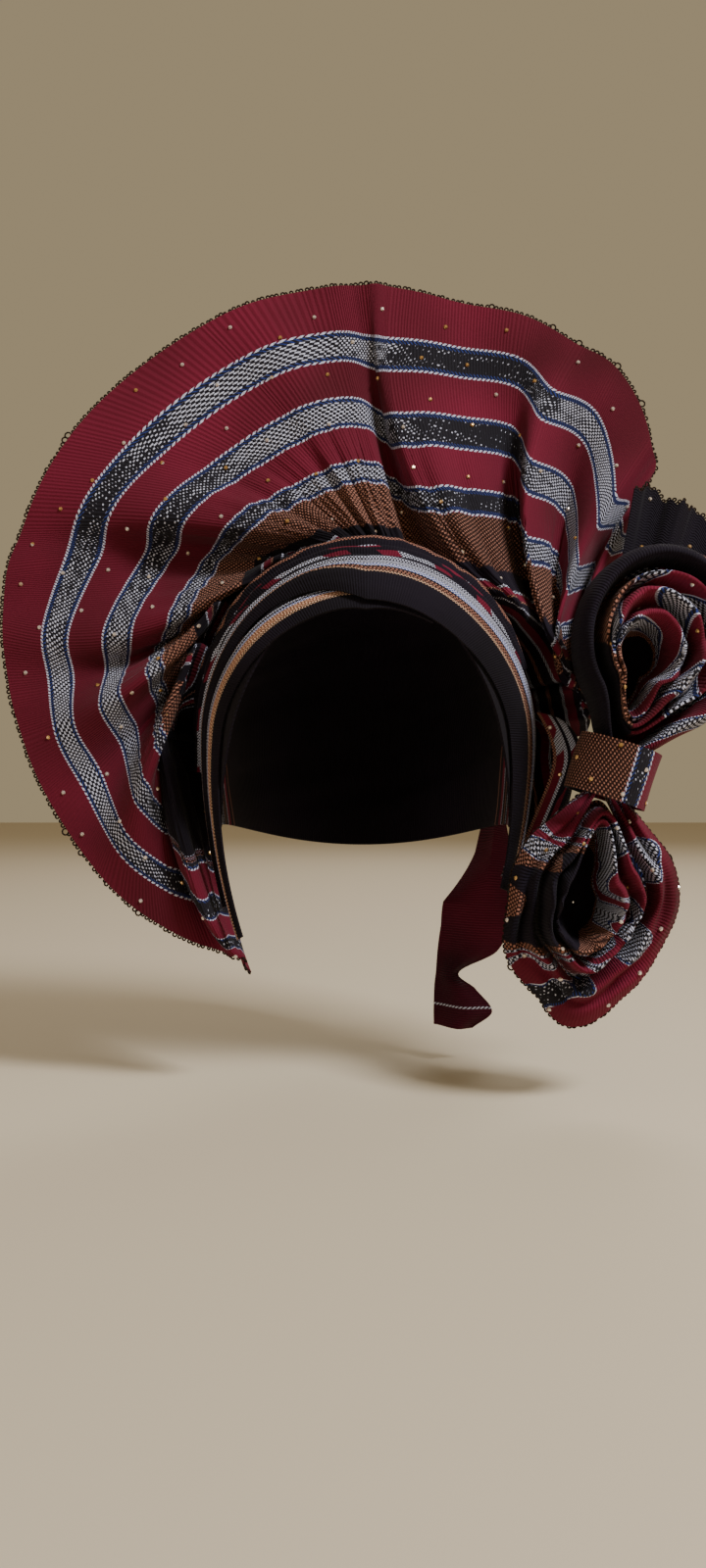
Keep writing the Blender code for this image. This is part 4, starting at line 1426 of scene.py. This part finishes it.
Hang = namedtuple("Hang", "down inner outer")
HANG = (
    Hang(0.00, -0.40, 0.30),
    Hang(0.30, -0.60, 0.22),
    Hang(0.55, -0.66, 0.12),
    Hang(0.66, -0.70, -0.04),
    Hang(0.76, -0.72, -0.46),
    Hang(0.82, -0.74, -0.28),
    Hang(0.92, -0.75, -0.08),
    Hang(1.00, -0.75, -0.30),
)
down = np.linspace(0, 1, 90)[:, None]
across = np.linspace(0, 1, 40)[None, :]
inner, outer = np.moveaxis(smooth_table(HANG, down), -1, 0)
share = inner + (outer - inner) * across
turn, spread = TAIL_SEAT
seat = on_head(np.array(turn), np.array(spread), np.array(seat_lift()))
x = seat[0] + TAIL_WIDTH * share
y = seat[1] - TAIL_WIDTH * (TAIL_BACK * share + TAIL_FORWARD * down)
y = y + TAIL_FOLD * np.cos(2 * np.pi * across) * down
z = seat[2] - TAIL_LENGTH * down + 0 * share
spreads = spread - TAIL_WRAP * (share + 0.4 * down)
lying = on_head(turn + TAIL_TURN * down + 0 * share, spreads, seat_lift() + 0 * share)
free = ease(down / TAIL_FREE)[..., None]
tail_surface = lying + (np.stack([x, y, z], -1) - lying) * free
held = np.clip((TAIL_HELD[1] - down) / np.ptp(TAIL_HELD), 0, 1)[..., None]
clear = clear_of_head(tail_surface, seat_lift())
tail_surface = tail_surface + (clear - tail_surface) * held
tail_down = TAIL_LENGTH * down + 0 * x
tail_map = np.stack(np.broadcast_arrays(TAIL_WIDTH * across, tail_down), -1)
tail = cloth_wall("neck_tail", tail_surface, tail_map, 0.3, shaded_tail_cloth("shaded_tail_cloth"))
tail_flat = mean_lengths(tail_surface)[::-1]
settle(tail, "neck_tail", tail_flat)

# %% [markdown]
# ## The rim's thread loops
# The weaver's thread turns back at the cloth's edge, and leaves a row of small dark loops there.
# Each is a small closed ring that stands out from the edge in the cloth's own plane, and a few are
# larger than the rest.

# %% Thread cloth
def thread_material():
    weave = Weave("edge_thread")
    grain = weave.noise(700)
    return weave.finish(grain.tint(rgb("120b08"), rgb("2a1a12")), grain)


thread = thread_material()
LOOP_RADIUS = 0.0008
LOOP_WIRE = 0.00045
LOOP_SPACING = 0.0026


# %% Loops along an edge
def edge_loops(name, edge, outwards, spacing, seed):
    """Small closed rings set along an edge, each in the plane of the edge and its outward side."""
    lot = np.random.default_rng(seed)
    travelled = lengths_along(edge, 0)
    where = np.arange(spacing / 2, travelled[-1], spacing)
    where = where + spacing * lot.uniform(-0.2, 0.2, len(where))
    centre = np.stack([np.interp(where, travelled, edge[:, axis]) for axis in range(3)], -1)
    out = np.stack([np.interp(where, travelled, outwards[:, axis]) for axis in range(3)], -1)
    tangent = np.gradient(centre, axis=0)
    tangent /= np.linalg.norm(tangent, axis=-1, keepdims=True)
    out -= tangent * (out * tangent).sum(-1, keepdims=True)
    out /= np.linalg.norm(out, axis=-1, keepdims=True)
    size = LOOP_RADIUS * lot.uniform(0.7, 1.2, len(where))
    size = np.where(lot.random(len(where)) < 0.04, size * 1.8, size)
    centre = centre + out * size[:, None] * 0.8
    round_ring = np.linspace(0, 2 * np.pi, 9, endpoint=False)
    round_wire = np.linspace(0, 2 * np.pi, 5, endpoint=False)
    ring = out[:, None] * np.cos(round_ring)[:, None]
    ring = ring + tangent[:, None] * np.sin(round_ring)[:, None]
    side = np.cross(tangent, out)[:, None, None]
    wire = ring[:, :, None] * np.cos(round_wire)[:, None] + side * np.sin(round_wire)[:, None]
    rings = ring[:, :, None] * size[:, None, None, None]
    points = centre[:, None, None] + rings + wire * LOOP_WIRE
    number = np.arange(points[..., 0].size).reshape(points.shape[:3])
    on, up = np.roll(number, -1, 1), np.roll(number, -1, 2)
    faces = quads(number, on, np.roll(on, -1, 2), up)
    piece = add_mesh(name, points, faces[:, ::-1], thread)
    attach(piece, "root")
    print(name, len(where), "loops")


rim = fan_surface[:, 0]
edge_loops("rim_loops", rim, rim - fan_surface[:, 2], LOOP_SPACING, 1)
end_top = end_surface[-1]
edge_loops("end_loops", end_top, end_top - end_surface[-3], LOOP_SPACING, 2)
lower_rim = lower_outer_surface[12:-12, 0]
lower_inward = lower_outer_surface[12:-12, 3]
edge_loops("lower_loops", lower_rim, lower_rim - lower_inward, LOOP_SPACING, 3)

# %% [markdown]
# ## The stones
# Small faceted stones are glued on at random, a couple of centimetres apart, on all the cloth
# that faces the viewer. Each is a low cut cone with eight sides, turned to face away from it.

# %% Stones
def stone_material():
    material = bpy.data.materials.new("cut_stone")
    material.use_nodes = True
    shader = material.node_tree.nodes["Principled BSDF"]
    here = Wire(material.node_tree.nodes.new("ShaderNodeTexCoord").outputs[3])
    kind = here.node("ShaderNodeTexVoronoi", None, {"Vector": here, "Scale": 60.0}, output=1)
    shares = here.node("ShaderNodeSeparateXYZ", None, {0: kind})
    colour = shares.rises(0.45, 0.1).tint(rgb("c79a5b"), rgb("e6d9cf"))
    material.node_tree.links.new(colour.socket, shader.inputs["Base Color"])
    shader.inputs["Metallic"].default_value = 0.6
    shader.inputs["Roughness"].default_value = 0.15
    shader.inputs["Coat Weight"].default_value = 1.0
    return material


stone = stone_material()
STONE_RADIUS = 0.0011
STONE_HEIGHT = 0.0009


def set_stones(name, surface, thickness, spacing, seed):
    """Stones on a surface, on the side that faces the viewer, at points drawn by lot.

    Points are drawn one after the other, and one that falls too near an earlier one is dropped.
    """
    lot = np.random.default_rng(seed)
    normals = grid_normals(surface, False)
    normals = np.where(normals[..., 1:2] > 0, -normals, normals)
    seen = np.argwhere(normals[2:-2, 2:-2, 1] < -0.35) + 2
    chosen = []
    for row, column in lot.permutation(seen):
        point = surface[row, column]
        if all(np.linalg.norm(point - surface[other]) > spacing for other in chosen):
            chosen.append((row, column))
    picked = tuple(np.array(chosen).T)
    normal = normals[picked]
    centre = surface[picked] + normal * thickness / 2
    aside = np.cross(normal, [0.3, 0.2, 1.0])
    aside /= np.linalg.norm(aside, axis=-1, keepdims=True)
    upward = np.cross(normal, aside)
    turn = np.linspace(0, 2 * np.pi, 8, endpoint=False)
    spoke = aside[:, None] * np.cos(turn)[:, None] + upward[:, None] * np.sin(turn)[:, None]
    rings = [(0.8, -0.1), (1.0, 0.25), (0.55, 1.0)]
    points = np.stack(
        [
            centre[:, None] + spoke * STONE_RADIUS * wide + normal[:, None] * STONE_HEIGHT * high
            for wide, high in rings
        ],
        1,
    )
    number = np.arange(points[..., 0].size).reshape(points.shape[:3])
    on = np.roll(number, -1, 2)
    sides = quads(number[:, :-1], on[:, :-1], on[:, 1:], number[:, 1:])
    caps = [number[:, -1].tolist(), number[:, 0, ::-1].tolist()]
    mesh = bpy.data.meshes.new(name)
    mesh.from_pydata(points.reshape(-1, 3).tolist(), [], sides.tolist() + caps[0] + caps[1])
    mesh.materials.append(stone)
    piece = bpy.data.objects.new(name, mesh)
    bpy.context.scene.collection.objects.link(piece)
    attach(piece, "root")
    print(name, len(chosen), "stones")


Strewn = namedtuple("Strewn", "name surface thickness spacing")
STREWN = (
    Strewn("fan_stones", fan_surface[:, :44], FAN_CLOTH, 0.021),
    Strewn("end_stones", end_surface, CLOTH, 0.020),
    Strewn("crown_stones", crown_surface, CLOTH, 0.024),
    Strewn("side_stones", side_surface, CLOTH, 0.020),
    Strewn("upper_stones", upper_surface[:, 15:60], CLOTH, 0.020),
    Strewn("knot_stones", knot_surface, CLOTH, 0.014),
    Strewn("lower_stones", lower_outer_surface, CLOTH, 0.018),
    Strewn("curl_stones", lower_inner_surface[:, 15:55], CLOTH, 0.018),
)
for seed, strewn in enumerate(STREWN, start=5):
    set_stones(*strewn, seed)

# %% [markdown]
# ## Floor and light
# A plain pale floor and large soft lights: one high at the right, a weaker one at the left, and
# one high behind that lights the fan's rim.

# %% Stage
def plain_material(name, colour, roughness):
    material = bpy.data.materials.new(name)
    material.use_nodes = True
    shader = material.node_tree.nodes["Principled BSDF"]
    shader.inputs["Base Color"].default_value = colour
    shader.inputs["Roughness"].default_value = roughness
    return material


FLOOR_DROP = 0.226
size = 4.0
corners = np.array([[-size, -size, 0], [size, -size, 0], [size, size, 0], [-size, size, 0]])
floor = add_mesh(
    "floor",
    corners - [0, 0, FLOOR_DROP],
    np.array([[0, 1, 2, 3]]),
    plain_material("floor", rgb("cdbfa8"), 0.9),
)


def soft_light(name, place, aim, size, power):
    data = bpy.data.lights.new(name, "AREA")
    data.size = size
    data.energy = power
    light = bpy.data.objects.new(name, data)
    light.location = place
    towards = np.array(aim) - np.array(place)
    level = math.hypot(towards[0], towards[1])
    light.rotation_euler = (
        math.atan2(level, -towards[2]),
        0,
        math.atan2(-towards[0], towards[1]),
    )
    bpy.context.scene.collection.objects.link(light)


soft_light("key", (0.85, -0.75, 1.1), (0, 0, 0), 0.4, 30)
soft_light("fill", (-1.4, -1.2, 0.1), (0, 0, -0.05), 1.2, 5)
soft_light("back", (0.3, 1.5, 1.2), (0, 0, 0), 1.0, 12)
world = bpy.data.worlds.new("world")
world.use_nodes = True
world.node_tree.nodes["Background"].inputs["Color"].default_value = rgb("d3bf98")
world.node_tree.nodes["Background"].inputs["Strength"].default_value = 0.5
bpy.context.scene.world = world
